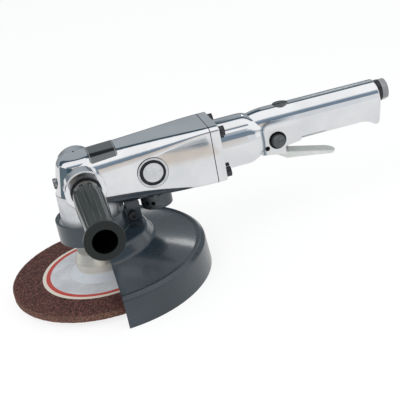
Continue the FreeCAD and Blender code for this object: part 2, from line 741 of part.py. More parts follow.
def bearing_cap():
    """The plain neck that closes the gear chamber and carries the lower bearing and the guard."""
    shell = turned_z(
        (
            (0, CAP_BOTTOM_Z),
            (CAP_SPIGOT_RADIUS, CAP_BOTTOM_Z),
            (CAP_SPIGOT_RADIUS, CAP_STEP_Z),
            (CAP_FOOT_RADIUS, CAP_STEP_Z),
            (CAP_TOP_RADIUS, CAP_TOP_Z),
            (0, CAP_TOP_Z),
        )
    )
    rim = edges_at(shell, lambda c: abs(c.z - CAP_BOTTOM_Z) < RUN_GAP)
    shell = shell.makeFillet(CAP_EDGE_FILLET, rim)
    bearing_bore = LOWER_BEARING_RADIUS + RUN_GAP
    land_top = LOWER_BEARING_TOP_Z + CAP_LAND
    groove_top = LOWER_BEARING_TOP_Z + SNAP_RING_THICKNESS
    hollows = (
        rod_z(HEAD_CHAMBER_RADIUS, land_top, CAP_TOP_Z + CUT_OVERRUN),
        rod_z(bearing_bore, LOWER_BEARING_Z, land_top + CUT_OVERRUN),
        rod_z(bearing_bore + SNAP_RING_GROOVE, LOWER_BEARING_TOP_Z, groove_top),
        rod_z(SEAL_RADIUS, LOWER_BEARING_Z - SEAL_HEIGHT, LOWER_BEARING_Z + CUT_OVERRUN),
        rod_z(SPINDLE_COLLAR_RADIUS + SLIP_GAP, CAP_BOTTOM_Z - CUT_OVERRUN, LOWER_BEARING_Z),
    )
    return shell.cut(hollows)


def bearing_snap_ring():
    """The open ring that holds the lower bearing down in its seat."""
    low, high = LOWER_BEARING_TOP_Z, LOWER_BEARING_TOP_Z + SNAP_RING_THICKNESS - RUN_GAP
    outer = LOWER_BEARING_RADIUS + SNAP_RING_GROOVE
    below, above = low - CUT_OVERRUN, high + CUT_OVERRUN
    bore = rod_z(outer - SNAP_RING_WIDTH, below, above)
    gap = block(0, outer, -SNAP_RING_OPENING / 2, SNAP_RING_OPENING / 2, below, above)
    return rod_z(outer, low, high).cut([bore, gap])


def lower_bearing():
    """The outer ring, inner ring and balls of the spindle's deep-groove bearing."""
    outer, inner = bearing_rings(LOWER_BEARING_RADIUS, SPINDLE_JOURNAL_RADIUS, LOWER_BEARING_WIDTH)
    mid_radius = (LOWER_BEARING_RADIUS + SPINDLE_JOURNAL_RADIUS) / 2
    mid_height = LOWER_BEARING_WIDTH / 2
    race = Part.makeTorus(mid_radius, LOWER_BEARING_BALL_RADIUS + FIT_GAP, point(0, 0, mid_height), UP)
    ball = Part.makeSphere(LOWER_BEARING_BALL_RADIUS, point(mid_radius, 0, mid_height))
    balls = Part.makeCompound(around(ball, MIDDLE, UP, LOWER_BEARING_BALLS))
    pieces = [outer.cut(race), inner.cut(race), balls]
    for piece in pieces:
        piece.translate(point(0, 0, LOWER_BEARING_Z))
    return pieces


def spindle_seal():
    """The felt seal under the lower bearing."""
    low = LOWER_BEARING_Z - SEAL_HEIGHT
    bore = rod_z(SPINDLE_COLLAR_RADIUS + RUN_GAP, low - CUT_OVERRUN, LOWER_BEARING_Z + CUT_OVERRUN)
    return rod_z(SEAL_RADIUS, low, LOWER_BEARING_Z).cut(bore)


def cap_gasket():
    """The paper gasket between the bearing cap and the gear head."""
    top = CAP_TOP_Z + CAP_GASKET
    ring = rod_z(HEAD_FOOT_RADIUS - CAP_GASKET, CAP_TOP_Z, top)
    return ring.cut(rod_z(HEAD_CHAMBER_RADIUS, CAP_TOP_Z - CUT_OVERRUN, top + CUT_OVERRUN))


def upper_bush():
    """The bronze bush in the top of the head that guides the spindle's upper end."""
    top = BUSH_Z + BUSH_HEIGHT
    bore = rod_z(SPINDLE_TOP_RADIUS + RUN_GAP, BUSH_Z - CUT_OVERRUN, top + CUT_OVERRUN)
    return rod_z(BUSH_RADIUS, BUSH_Z, top).cut(bore)


def housing_body(growth=0):
    """The body that widens from the head to its square flange, grown evenly outwards if asked."""
    stations = (
        (HOUSING_START_X, HOUSING_FRONT),
        (HOUSING_HEAD_END_X, HOUSING_HEAD_END),
        (HOUSING_MIDDLE_X, HOUSING_MIDDLE),
        (HOUSING_REAR_X, HOUSING_REAR),
        (HOUSING_END_X, HOUSING_FLANGE),
    )
    return skin([rounded_square(x, *(size + growth for size in sizes)) for x, sizes in stations])


def side_boss():
    """The round handle boss on the +Y side, its face lightly rounded."""
    boss = rod_y(BOSS_RADIUS, BOSS_ROOT_Y, BOSS_FACE_Y, 0, SIDE_HANDLE_Z)
    return boss.makeFillet(BOSS_FILLET, edges_at(boss, lambda c: c.y > BOSS_FACE_Y - RUN_GAP))


def housing_shell():
    """The outside of the casting: the drafted tower, the body, both handle bosses and the exhaust boss."""
    low = CAP_TOP_Z + CAP_GASKET
    tower = Part.makeCone(HEAD_FOOT_RADIUS, HEAD_TOP_RADIUS, HEAD_TOP_Z - low, point(0, 0, low), UP)
    tower = tower.makeFillet(HEAD_CROWN_FILLET, edges_at(tower, lambda c: c.z > HEAD_TOP_Z - RUN_GAP))
    under = block(
        HOUSING_START_X - CUT_OVERRUN, HOUSING_UNDERCUT_X, -BOSS_FACE_Y, BOSS_FACE_Y, CAP_BOTTOM_Z, low
    )
    neck = rod_z(CAP_FOOT_RADIUS + SLIP_GAP, CAP_BOTTOM_Z, low)
    body = housing_body().cut([under, neck])
    exhaust = rod_z(EXHAUST_BOSS_RADIUS, EXHAUST_FACE_Z, MOTOR_AXIS_Z - MOTOR_BORE_RADIUS, EXHAUST_X)
    bosses = [piece.cut([under, neck]) for piece in both_sides(side_boss())]
    return tower.fuse([body, exhaust, *bosses])


def gear_case():
    """The casting with its gear chamber, motor bore, handle sockets, exhaust port and screw holes."""
    low = CAP_TOP_Z - CUT_OVERRUN
    socket = rod_y(SOCKET_RADIUS, BOSS_FACE_Y - SOCKET_DEPTH, BOSS_FACE_Y + CUT_OVERRUN, 0, SIDE_HANDLE_Z)
    plug_z = MOTOR_AXIS_Z + GREASE_PLUG_RISE
    throat = Part.makeCone(
        HEAD_CHAMBER_RADIUS,
        HEAD_THROAT_RADIUS,
        HEAD_THROAT_Z - HEAD_SHOULDER_Z,
        point(0, 0, HEAD_SHOULDER_Z),
        UP,
    )
    screw = corner_rod(FLANGE_SCREW_RADIUS, HOUSING_END_X - FLANGE_SCREW_DEPTH, HOUSING_END_X + CUT_OVERRUN)
    hollows = [
        rod_z(HEAD_CHAMBER_RADIUS, low, HEAD_SHOULDER_Z),
        throat,
        rod_z(BUSH_RADIUS, HEAD_THROAT_Z - CUT_OVERRUN, BUSH_Z + BUSH_HEIGHT),
        rod_x(PINION_TUNNEL_RADIUS, 0, MOTOR_BORE_X + CUT_OVERRUN),
        rod_x(MOTOR_BORE_RADIUS, MOTOR_BORE_X, HOUSING_END_X + CUT_OVERRUN),
        rod_z(EXHAUST_BORE_RADIUS, EXHAUST_FACE_Z - CUT_OVERRUN, MOTOR_AXIS_Z, EXHAUST_X),
        rod_x(GREASE_PLUG_RADIUS + SLIP_GAP, -HEAD_FOOT_RADIUS, GREASE_PLUG_LAND_X, 0, plug_z),
        rod_x(GREASE_PLUG_SHANK_RADIUS, -HEAD_FOOT_RADIUS, -HEAD_THROAT_RADIUS, 0, plug_z),
        *both_sides(socket),
        *four_corners(screw),
    ]
    bridge = block(
        EXHAUST_X - EXHAUST_BORE_RADIUS,
        EXHAUST_X + EXHAUST_BORE_RADIUS,
        -BRIDGE_WIDTH / 2,
        BRIDGE_WIDTH / 2,
        EXHAUST_FACE_Z,
        EXHAUST_FACE_Z + BRIDGE_THICKNESS,
    )
    thread = rod_z(
        DEFLECTOR_SCREW_RADIUS,
        EXHAUST_FACE_Z - CUT_OVERRUN,
        EXHAUST_FACE_Z + BRIDGE_THICKNESS + CUT_OVERRUN,
        EXHAUST_X,
    )
    return housing_shell().cut(hollows).fuse(bridge).cut(thread)


def grease_plug():
    """The slotted plug in the front of the gear head."""
    z = MOTOR_AXIS_Z + GREASE_PLUG_RISE
    face = GREASE_PLUG_LAND_X - GREASE_PLUG_HEAD
    head = rod_x(GREASE_PLUG_RADIUS, face, GREASE_PLUG_LAND_X, 0, z)
    head = head.makeChamfer(GREASE_PLUG_SLOT / 2, edges_at(head, lambda c: c.x < face + RUN_GAP))
    slot = block(
        face - CUT_OVERRUN,
        face + GREASE_PLUG_SLOT,
        -GREASE_PLUG_RADIUS - CUT_OVERRUN,
        GREASE_PLUG_RADIUS + CUT_OVERRUN,
        z - GREASE_PLUG_SLOT / 2,
        z + GREASE_PLUG_SLOT / 2,
    )
    shank = rod_x(GREASE_PLUG_SHANK_RADIUS, GREASE_PLUG_LAND_X, -HEAD_CHAMBER_RADIUS, 0, z)
    return head.cut(slot).fuse(shank)


def is_upright(edge):
    """Whether an edge runs straight up."""
    return edge.BoundBox.XLength + edge.BoundBox.YLength < RUN_GAP


def name_plate():
    """The bare sheet plate bent over the near upper corner of the casting."""
    above = HEAD_TOP_Z + HEAD_CROWN_FILLET
    window = block(PLATE_X, PLATE_END_X, PLATE_NEAR_Y, PLATE_FAR_Y, MOTOR_AXIS_Z, above)
    upright = [edge for edge in window.Edges if edge.BoundBox.ZLength > PLATE_CORNER]
    window = window.makeFillet(PLATE_CORNER, [edge for edge in upright if is_upright(edge)])
    return housing_body(PLATE_THICKNESS).common(window).cut(housing_shell())


def round_badge():
    """The bare round badge on the near side of the motor housing."""
    disc = rod_y(BADGE_RADIUS, -BOSS_FACE_Y, 0, BADGE_X, MOTOR_AXIS_Z + BADGE_RISE)
    return housing_body(BADGE_THICKNESS).common(disc).cut(housing_shell())


def flange_screws():
    """The four socket screws that hold the handle to the motor housing."""
    top = BARREL_X + FLANGE_SCREW_HEAD
    offset = FLANGE_SCREW_OFFSET
    shank = corner_rod(FLANGE_SCREW_RADIUS, HOUSING_END_X - FLANGE_SCREW_DEPTH, BARREL_X)
    head = corner_rod(FLANGE_SCREW_HEAD_RADIUS, BARREL_X, top)
    socket = hexagon_x(
        FLANGE_SCREW_SOCKET_FLATS, top - FLANGE_SCREW_SOCKET, top + CUT_OVERRUN, offset, MOTOR_AXIS_Z + offset
    )
    return Part.makeCompound(four_corners(shank.fuse(head).cut(socket)))


# The side handle


def side_handle_collar():
    """The ring between the boss and the grip."""
    start, end = -BOSS_FACE_Y - COLLAR_THICKNESS, -BOSS_FACE_Y
    hole = rod_y(STUD_RADIUS, start - CUT_OVERRUN, end + CUT_OVERRUN, 0, SIDE_HANDLE_Z)
    return rod_y(COLLAR_RADIUS, start, end, 0, SIDE_HANDLE_Z).cut(hole)


def side_handle_stud():
    """The steel stud moulded into the grip."""
    start = -BOSS_FACE_Y - COLLAR_THICKNESS - STUD_IN_GRIP
    return rod_y(STUD_RADIUS, start, -BOSS_FACE_Y + SOCKET_DEPTH - CUT_OVERRUN, 0, SIDE_HANDLE_Z)


def side_handle_grip():
    """A turned grip with long flutes, a flared end and a hollow open to the end."""
    end_low = GRIP_LENGTH - GRIP_END_THICKNESS
    curve = Part.BSplineCurve()
    curve.interpolate(
        [
            point(GRIP_NECK_RADIUS, 0, 0),
            point(GRIP_BODY_RADIUS, 0, GRIP_SHOULDER_SHARE * GRIP_LENGTH),
            point(GRIP_BODY_RADIUS, 0, GRIP_BELLY_SHARE * GRIP_LENGTH),
            point(GRIP_WAIST_RADIUS, 0, end_low),
        ]
    )
    end = (
        point(GRIP_WAIST_RADIUS, 0, end_low),
        point(GRIP_END_RADIUS, 0, end_low),
        point(GRIP_END_RADIUS, 0, GRIP_LENGTH),
        point(0, 0, GRIP_LENGTH),
        MIDDLE,
        point(GRIP_NECK_RADIUS, 0, 0),
    )
    grip = Part.Face(Part.Wire([curve.toShape(), *Part.makePolygon(end).Edges])).revolve(MIDDLE, UP, 360)
    rims = [
        edge
        for edge in grip.Edges
        if edge.BoundBox.XLength > 2 * GRIP_END_RADIUS - FIT_GAP and edge.BoundBox.ZLength < FIT_GAP
    ]
    grip = grip.makeFillet(GRIP_END_FILLET, rims)
    low, high = FLUTE_START_SHARE * GRIP_LENGTH, FLUTE_END_SHARE * GRIP_LENGTH
    reach = GRIP_BODY_RADIUS + FLUTE_RADIUS - FLUTE_DEPTH
    ends = [Part.makeSphere(FLUTE_RADIUS, point(reach, 0, height)) for height in (low, high)]
    flute = rod_z(FLUTE_RADIUS, low, high, reach).fuse(ends)
    lean = math.degrees(math.atan2(GRIP_BODY_RADIUS - GRIP_WAIST_RADIUS, high - low))
    flute.rotate(point(reach, 0, low), ACROSS, -lean)
    hollow = rod_z(GRIP_HOLLOW_RADIUS, GRIP_LENGTH - GRIP_HOLLOW_DEPTH, GRIP_LENGTH + CUT_OVERRUN)
    stud_hole = rod_z(STUD_RADIUS, -CUT_OVERRUN, STUD_IN_GRIP)
    grip = grip.cut([*around(flute, MIDDLE, UP, FLUTE_COUNT), hollow, stud_hole])
    grip.rotate(MIDDLE, ALONG, 90)
    grip.translate(point(0, -BOSS_FACE_Y - COLLAR_THICKNESS, SIDE_HANDLE_Z))
    return grip


# The air motor


def cylinder_liner():
    """The motor cylinder, bored off centre, with exhaust ports through its thicker wall."""
    end = LINER_X + LINER_LENGTH
    liner = rod_x(LINER_RADIUS, LINER_X, end)
    centre = MOTOR_AXIS_Z - LINER_OFFSET
    bore = rod_x(LINER_BORE_RADIUS, LINER_X - CUT_OVERRUN, end + CUT_OVERRUN, 0, centre)
    pitch = LINER_LENGTH / (PORT_COUNT + 1)
    low = MOTOR_AXIS_Z - LINER_RADIUS - CUT_OVERRUN
    ports = [rod_z(PORT_RADIUS, low, MOTOR_AXIS_Z, LINER_X + pitch * (n + 1)) for n in range(PORT_COUNT)]
    return liner.cut([bore, *ports])


def end_plate(start, bearing_start):
    """One end plate of the motor with a pocket for its bearing."""
    end = start + END_PLATE_THICKNESS
    plate = rod_x(LINER_RADIUS, start, end)
    pocket = rod_x(ROTOR_BEARING_RADIUS, bearing_start, bearing_start + ROTOR_BEARING_WIDTH)
    hole = rod_x(ROTOR_SHAFT_RADIUS + SLIP_GAP, start - CUT_OVERRUN, end + CUT_OVERRUN)
    return plate.cut([pocket, hole])


def rotor():
    """The slotted rotor with its shaft, stepped down at the front for the pinion."""
    start, end = LINER_X + ROTOR_END_GAP, LINER_X + LINER_LENGTH - ROTOR_END_GAP
    body = rod_x(ROTOR_RADIUS, start, end)
    slot = block(
        start - CUT_OVERRUN,
        end + CUT_OVERRUN,
        -VANE_THICKNESS / 2 - VANE_GAP,
        VANE_THICKNESS / 2 + VANE_GAP,
        MOTOR_AXIS_Z + ROTOR_RADIUS - VANE_DEPTH - VANE_GAP,
        MOTOR_AXIS_Z + ROTOR_RADIUS + CUT_OVERRUN,
    )
    shaft = rod_x(ROTOR_SHAFT_RADIUS, PINION_BACK_X, MOTOR_END_X)
    seat = rod_x(PINION_BORE_RADIUS, GEAR_PITCH_RADIUS * GEAR_INNER_SCALE, PINION_BACK_X)
    return body.cut(around(slot, MOTOR_AXIS, ALONG, VANE_COUNT)).fuse([shaft, seat])


def rotor_vanes():
    """The sliding vanes, drawn in flush with the rotor."""
    start, end = LINER_X + ROTOR_END_GAP, LINER_X + LINER_LENGTH - ROTOR_END_GAP
    low = MOTOR_AXIS_Z + ROTOR_RADIUS - VANE_DEPTH
    vane = block(start, end, -VANE_THICKNESS / 2, VANE_THICKNESS / 2, low, MOTOR_AXIS_Z + ROTOR_RADIUS)
    vane = vane.common(rod_x(ROTOR_RADIUS, start, end))
    return Part.makeCompound(around(vane, MOTOR_AXIS, ALONG, VANE_COUNT))


# The exhaust


def exhaust_deflector():
    """The round cap that swivels under the exhaust port and lets the air out through its side."""
    top = EXHAUST_FACE_Z - SLIP_GAP
    low = top - DEFLECTOR_HEIGHT
    centre = point(EXHAUST_X, 0, 0)
    cup = rod_z(DEFLECTOR_RADIUS, low, top, EXHAUST_X)
    cup = cup.makeFillet(DEFLECTOR_FILLET, edges_at(cup, lambda c: c.z < low + RUN_GAP))
    hollow = rod_z(DEFLECTOR_RADIUS - DEFLECTOR_WALL, low + DEFLECTOR_WALL, top + CUT_OVERRUN, EXHAUST_X)
    post = rod_z(DEFLECTOR_POST_RADIUS, low + DEFLECTOR_WALL, top, EXHAUST_X)
    ports = []
    for n in range(DEFLECTOR_PORTS):
        port = Part.makeCylinder(
            DEFLECTOR_PORT_RADIUS,
            DEFLECTOR_RADIUS,
            point(EXHAUST_X + DEFLECTOR_POST_RADIUS + CUT_OVERRUN, 0, (low + top) / 2),
            ALONG,
        )
        port.rotate(centre, UP, DEFLECTOR_PORT_START + n * DEFLECTOR_PORT_SPACING)
        ports.append(port)
    hole = rod_z(DEFLECTOR_SCREW_RADIUS + RUN_GAP, low - CUT_OVERRUN, top + CUT_OVERRUN, EXHAUST_X)
    recess_radius, recess_end = DEFLECTOR_SCREW_HEAD_RADIUS + SLIP_GAP, low + DEFLECTOR_SCREW_HEAD
    recess = rod_z(recess_radius, low - CUT_OVERRUN, recess_end, EXHAUST_X)
    return cup.cut(hollow).fuse(post).cut([*ports, hole, recess])


def deflector_screw():
    """The shouldered screw on which the deflector swivels."""
    low = EXHAUST_FACE_Z - SLIP_GAP - DEFLECTOR_HEIGHT
    head = rod_z(DEFLECTOR_SCREW_HEAD_RADIUS, low, low + DEFLECTOR_SCREW_HEAD - RUN_GAP, EXHAUST_X)
    shank = rod_z(DEFLECTOR_SCREW_RADIUS, low, EXHAUST_FACE_Z + BRIDGE_THICKNESS, EXHAUST_X)
    slot = block(
        EXHAUST_X - DEFLECTOR_SCREW_HEAD_RADIUS - CUT_OVERRUN,
        EXHAUST_X + DEFLECTOR_SCREW_HEAD_RADIUS + CUT_OVERRUN,
        -SLIP_GAP,
        SLIP_GAP,
        low - CUT_OVERRUN,
        low + DEFLECTOR_SCREW_HEAD / 2,
    )
    return head.fuse(shank).cut(slot)


# The guard


def inset(outline, wall):
    """An open outline moved inwards by a wall, its corners mitred."""
    normals = []
    for (r0, z0), (r1, z1) in zip(outline, outline[1:]):
        length = math.hypot(r1 - r0, z1 - z0)
        normals.append(((z1 - z0) / length, -(r1 - r0) / length))
    moved = []
    for n, (r, z) in enumerate(outline):
        before, after = normals[max(n - 1, 0)], normals[min(n, len(normals) - 1)]
        along = (before[0] + after[0], before[1] + after[1])
        stretch = wall * 2 / (along[0] ** 2 + along[1] ** 2)
        moved.append((r + along[0] * stretch, z + along[1] * stretch))
    return moved


def rings_at(shape, places):
    """The round edges of a turned shape that pass through places given as (radius, height)."""
    found = []
    for radius, height in places:
        for edge in shape.Edges:
            start = edge.Vertexes[0].Point
            if abs(math.hypot(start.x, start.y) - radius) < RUN_GAP and abs(start.z - height) < RUN_GAP:
                if edge.BoundBox.ZLength < RUN_GAP:
                    found.append(edge)
    return found


def wheel_guard():
    """A half-round pressed hood with a deep skirt, made in one with a split clamp collar and its lugs."""
    outside = (
        (COLLAR_OUTER_RADIUS, GUARD_COLLAR_BOTTOM_Z),
        (GUARD_HAT_RADIUS, GUARD_HAT_Z),
        (GUARD_STEP_RADIUS, GUARD_STEP_Z),
        (GUARD_CONE_RADIUS, GUARD_CONE_Z),
        (GUARD_BEAD_RADIUS, GUARD_BEAD_Z),
        (GUARD_SHOULDER_RADIUS, GUARD_SHOULDER_Z),
        (GUARD_RADIUS, GUARD_RIM_Z),
    )
    hood = turned_z([*outside, *reversed(inset(outside, GUARD_WALL))])
    hood = hood.makeFillet(GUARD_HAT_FILLET, rings_at(hood, outside[1:3]))
    hood = hood.makeFillet(GUARD_FOLD_FILLET, rings_at(hood, outside[3:6]))
    reach = GUARD_RADIUS + CUT_OVERRUN
    half = block(GUARD_CUT_X, reach, -reach, reach, GUARD_RIM_Z, GUARD_COLLAR_TOP_Z)
    collar = rod_z(COLLAR_OUTER_RADIUS, GUARD_COLLAR_BOTTOM_Z - GUARD_WALL, GUARD_COLLAR_TOP_Z)
    lug = block(
        COLLAR_OUTER_RADIUS - GUARD_COLLAR_WALL / 2,
        COLLAR_OUTER_RADIUS + LUG_REACH,
        LUG_SLOT / 2,
        LUG_SLOT / 2 + LUG_THICKNESS,
        GUARD_COLLAR_BOTTOM_Z - GUARD_WALL / 2,
        GUARD_COLLAR_BOTTOM_Z + LUG_HEIGHT,
    )
    x, z = clamp_place()
    hole = rod_y(CLAMP_SCREW_RADIUS + RUN_GAP, -reach, reach, x, z)
    lugs = [piece.cut(hole) for piece in both_sides(lug)]
    bore = rod_z(COLLAR_BORE_RADIUS, GUARD_RIM_Z, GUARD_COLLAR_TOP_Z + CUT_OVERRUN)
    slot = block(
        0,
        COLLAR_OUTER_RADIUS + CUT_OVERRUN,
        -LUG_SLOT / 2,
        LUG_SLOT / 2,
        GUARD_COLLAR_BOTTOM_Z,
        GUARD_COLLAR_TOP_Z + CUT_OVERRUN,
    )
    return collar.fuse([hood.common(half), *lugs]).cut([bore, slot])


def clamp_place():
    """Where the clamp screw passes through the lugs, as (x, z)."""
    return COLLAR_OUTER_RADIUS + LUG_REACH / 2, GUARD_COLLAR_BOTTOM_Z + LUG_HEIGHT / 2


def clamp_screw():
    """The socket screw through the collar's lugs."""
    x, z = clamp_place()
    out = LUG_SLOT / 2 + LUG_THICKNESS
    shank = rod_y(CLAMP_SCREW_RADIUS, -out, out + CLAMP_NUT, x, z)
    face = -out - CLAMP_HEAD
    head = rod_y(CLAMP_HEAD_RADIUS, face, -out, x, z)
    socket = rod_y(CLAMP_SCREW_RADIUS - SLIP_GAP, face - CUT_OVERRUN, face + CLAMP_HEAD / 2, x, z)
    return shank.fuse(head).cut(socket)


def clamp_nut():
    """The hexagon nut on the clamp screw."""
    x, z = clamp_place()
    out = LUG_SLOT / 2 + LUG_THICKNESS
    nut = plate_y([(x + across, z + up) for across, up in hexagon(CLAMP_NUT_RADIUS)], out, CLAMP_NUT)
    return nut.cut(rod_y(CLAMP_SCREW_RADIUS, out - CUT_OVERRUN, out + CLAMP_NUT + CUT_OVERRUN, x, z))


# The handle


def flange_gasket():
    """The gasket in the joint between housing and handle."""
    sheet = Part.Face(rounded_square(HOUSING_END_X, *HOUSING_FLANGE)).extrude(point(GASKET, 0, 0))
    start, end = HOUSING_END_X - CUT_OVERRUN, HANDLE_FLANGE_X + CUT_OVERRUN
    hole = corner_rod(FLANGE_SCREW_RADIUS, start, end)
    return sheet.cut([rod_x(MOTOR_BORE_RADIUS, start, end), *four_corners(hole)])


def grip_body():
    """The grip: it swells out of the barrel, runs straight and flares down at its end."""
    root = [
        grip_section(GRIP_ROOT_X, GRIP_ROOT_SHARE),
        grip_section(GRIP_SHOULDER_X, GRIP_NEAR_SHARE),
        grip_section(GRIP_FULL_X),
        grip_section(GRIP_FULL_X + GRIP_BLEND),
    ]
    straight = [grip_section(GRIP_FULL_X + GRIP_BLEND), grip_section(FLARE_START_X - GRIP_BLEND)]
    flare = [
        grip_section(FLARE_START_X - GRIP_BLEND),
        grip_section(FLARE_START_X),
        grip_section(FLARE_MIDDLE_X, 1, FLARE_DROP * FLARE_MIDDLE_SHARE),
        grip_section(HANDLE_END_X, 1, FLARE_DROP),
    ]
    end = skin(flare)
    end = end.makeFillet(HANDLE_END_FILLET, edges_at(end, lambda c: c.x > HANDLE_END_X - RUN_GAP))
    return skin(root).fuse([skin(straight), end])


def handle_shell():
    """The outside of the handle casting: flange, barrel, grip, valve block and lever ears."""
    flange = Part.Face(rounded_square(HANDLE_FLANGE_X, *HOUSING_FLANGE)).extrude(point(HANDLE_FLANGE, 0, 0))
    flange = flange.makeFillet(HANDLE_FLANGE_FILLET, edges_at(flange, lambda c: c.x > BARREL_X - RUN_GAP))
    barrel = turned_x(
        (
            (BARREL_X, 0),
            (BARREL_X, BARREL_RADIUS),
            (BARREL_END_X, BARREL_RADIUS),
            (BARREL_NOSE_X, BARREL_NOSE_RADIUS),
            (BARREL_NOSE_X, 0),
        )
    )
    shoulder = edges_at(barrel, lambda c: abs(c.x - BARREL_END_X) < RUN_GAP)
    barrel = barrel.makeFillet(BARREL_NOSE_RADIUS, shoulder)
    side = GRIP_TOP_RADIUS
    valve_block = plate_y(
        (
            (VALVE_BLOCK_X, GRIP_TOP_Z - GRIP_TOP_RADIUS),
            (VALVE_BLOCK_X, EAR_FRONT_Z),
            (EAR_END_X, EAR_FOOT_Z),
            (EAR_END_X, VALVE_BLOCK_FOOT_Z),
            (VALVE_BLOCK_END_X, VALVE_BLOCK_REAR_Z),
            (VALVE_BLOCK_END_X, GRIP_TOP_Z - GRIP_TOP_RADIUS),
        ),
        -side,
        2 * side,
    )
    rear_foot = edges_at(
        valve_block, lambda c: c.x > VALVE_BLOCK_END_X - RUN_GAP and c.z < VALVE_BLOCK_REAR_Z + RUN_GAP
    )
    valve_block = valve_block.makeFillet(VALVE_BLOCK_CORNER, rear_foot)
    ear_foot = edges_at(
        valve_block, lambda c: abs(c.x - EAR_END_X) < RUN_GAP and c.z < EAR_FOOT_Z + RUN_GAP
    )
    valve_block = valve_block.makeFillet(EAR_CORNER, ear_foot)
    return flange.fuse([barrel, grip_body(), valve_block])


def handle_hollows():
    """Everything cut out of the handle: motor plenum, air ways, valve, lever slot, pin and inlet seat."""
    side = GRIP_TOP_RADIUS
    inner = LINER_RADIUS - SPIGOT_WALL
    passage_end = VALVE_X + VALVE_CHAMBER_RADIUS / 2
    reach = side + CUT_OVERRUN
    stem_end = REGULATOR_REACH - side
    return [
        rod_x(inner, MOTOR_END_X - CUT_OVERRUN, BARREL_X),
        rod_x(PASSAGE_RADIUS, BARREL_X - CUT_OVERRUN, VALVE_X),
        rod_x(PASSAGE_RADIUS, passage_end, HANDLE_END_X, 0, INLET_Z),
        rod_x(INLET_SEAT_RADIUS, HANDLE_END_X - INLET_SEAT_DEPTH, HANDLE_END_X + CUT_OVERRUN, 0, INLET_Z),
        block(
            VALVE_BLOCK_X,
            VALVE_BLOCK_END_X + CUT_OVERRUN,
            -SLOT_HALF_WIDTH,
            SLOT_HALF_WIDTH,
            MOTOR_AXIS_Z - BARREL_RADIUS - CUT_OVERRUN,
            SLOT_ROOF_Z,
        ),
        block(
            VALVE_BLOCK_X,
            EYE_POCKET_END_X,
            -SLOT_HALF_WIDTH,
            SLOT_HALF_WIDTH,
            SLOT_ROOF_Z - CUT_OVERRUN,
            EYE_POCKET_ROOF_Z,
        ),
        block(
            EYE_POCKET_END_X - CUT_OVERRUN,
            WEB_POCKET_END_X,
            -SLOT_HALF_WIDTH,
            SLOT_HALF_WIDTH,
            SLOT_ROOF_Z - CUT_OVERRUN,
            WEB_POCKET_ROOF_Z,
        ),
        rod_y(LEVER_PIN_RADIUS, -reach, reach, LEVER_PIVOT_X, LEVER_PIVOT_Z),
        rod_z(VALVE_STEM_RADIUS + RUN_GAP, SLOT_ROOF_Z - CUT_OVERRUN, MOTOR_AXIS_Z, VALVE_X),
        rod_z(PASSAGE_RADIUS, MOTOR_AXIS_Z, VALVE_SEAT_Z, VALVE_X),
        rod_z(VALVE_CHAMBER_RADIUS, VALVE_SEAT_Z, VALVE_CAP_Z, VALVE_X),
        rod_z(VALVE_CAP_RADIUS, VALVE_CAP_Z, GRIP_TOP_Z + CUT_OVERRUN, VALVE_X),
        rod_y(REGULATOR_STEM_RADIUS + RUN_GAP, -reach, stem_end, REGULATOR_X, REGULATOR_Z),
        rod_y(REGULATOR_WELL_RADIUS, -reach, -side + REGULATOR_WELL_DEPTH, REGULATOR_X, REGULATOR_Z),
    ]


def throttle_handle():
    """The handle casting with the spigot that centres it in the motor bore."""
    spigot = rod_x(LINER_RADIUS, MOTOR_END_X, HANDLE_FLANGE_X)
    screw = corner_rod(FLANGE_SCREW_RADIUS, HANDLE_FLANGE_X - CUT_OVERRUN, BARREL_X + CUT_OVERRUN)
    head_room = corner_rod(FLANGE_SCREW_HEAD_RADIUS + SLIP_GAP, BARREL_X, BARREL_END_X)
    hollows = [*handle_hollows(), *four_corners(screw), *four_corners(head_room)]
    return handle_shell().fuse(spigot).cut(hollows)


def inlet_collar():
    """The dark sealing collar between the handle and the inlet bushing."""
    end = HANDLE_END_X + INLET_COLLAR_THICKNESS
    bore = rod_x(INLET_SEAT_RADIUS, HANDLE_END_X - CUT_OVERRUN, end + CUT_OVERRUN, 0, INLET_Z)
    return rod_x(INLET_COLLAR_RADIUS, HANDLE_END_X, end, 0, INLET_Z).cut(bore)


def inlet_bushing():
    """The hexagon bushing with the hose thread."""
    start = HANDLE_END_X + INLET_COLLAR_THICKNESS
    end = start + INLET_HEX_LENGTH
    corner = INLET_HEX_FLATS / math.sqrt(3)
    envelope = turned_x(
        (
            (start, 0),
            (start, corner),
            (end - INLET_CHAMFER, corner),
            (end, corner - INLET_CHAMFER),
            (end, 0),
        ),
        INLET_Z,
    )
    nut = hexagon_x(INLET_HEX_FLATS, start, end, 0, INLET_Z).common(envelope)
    foot = HANDLE_END_X - INLET_SEAT_DEPTH
    shank = rod_x(INLET_SEAT_RADIUS, foot, start, 0, INLET_Z)
    thread = rod_x(INLET_THREAD_RADIUS, end - INLET_THREAD_DEPTH, end + CUT_OVERRUN, 0, INLET_Z)
    passage = rod_x(STRAINER_RADIUS, foot - CUT_OVERRUN, end, 0, INLET_Z)
    return nut.fuse(shank).cut([thread, passage])


def inlet_strainer():
    """The thimble screen that sits in the bushing."""
    start = HANDLE_END_X - INLET_SEAT_DEPTH
    end = start + STRAINER_LENGTH
    inside = rod_x(STRAINER_RADIUS - STRAINER_WALL, start + STRAINER_WALL, end + CUT_OVERRUN, 0, INLET_Z)
    return rod_x(STRAINER_RADIUS, start, end, 0, INLET_Z).cut(inside)


# The throttle


def lever_pin():
    """The pin on which the lever turns, a little short of the ears' faces."""
    reach = GRIP_TOP_RADIUS - LEVER_PIN_RECESS
    return rod_y(LEVER_PIN_RADIUS, -reach, reach, LEVER_PIVOT_X, LEVER_PIVOT_Z)


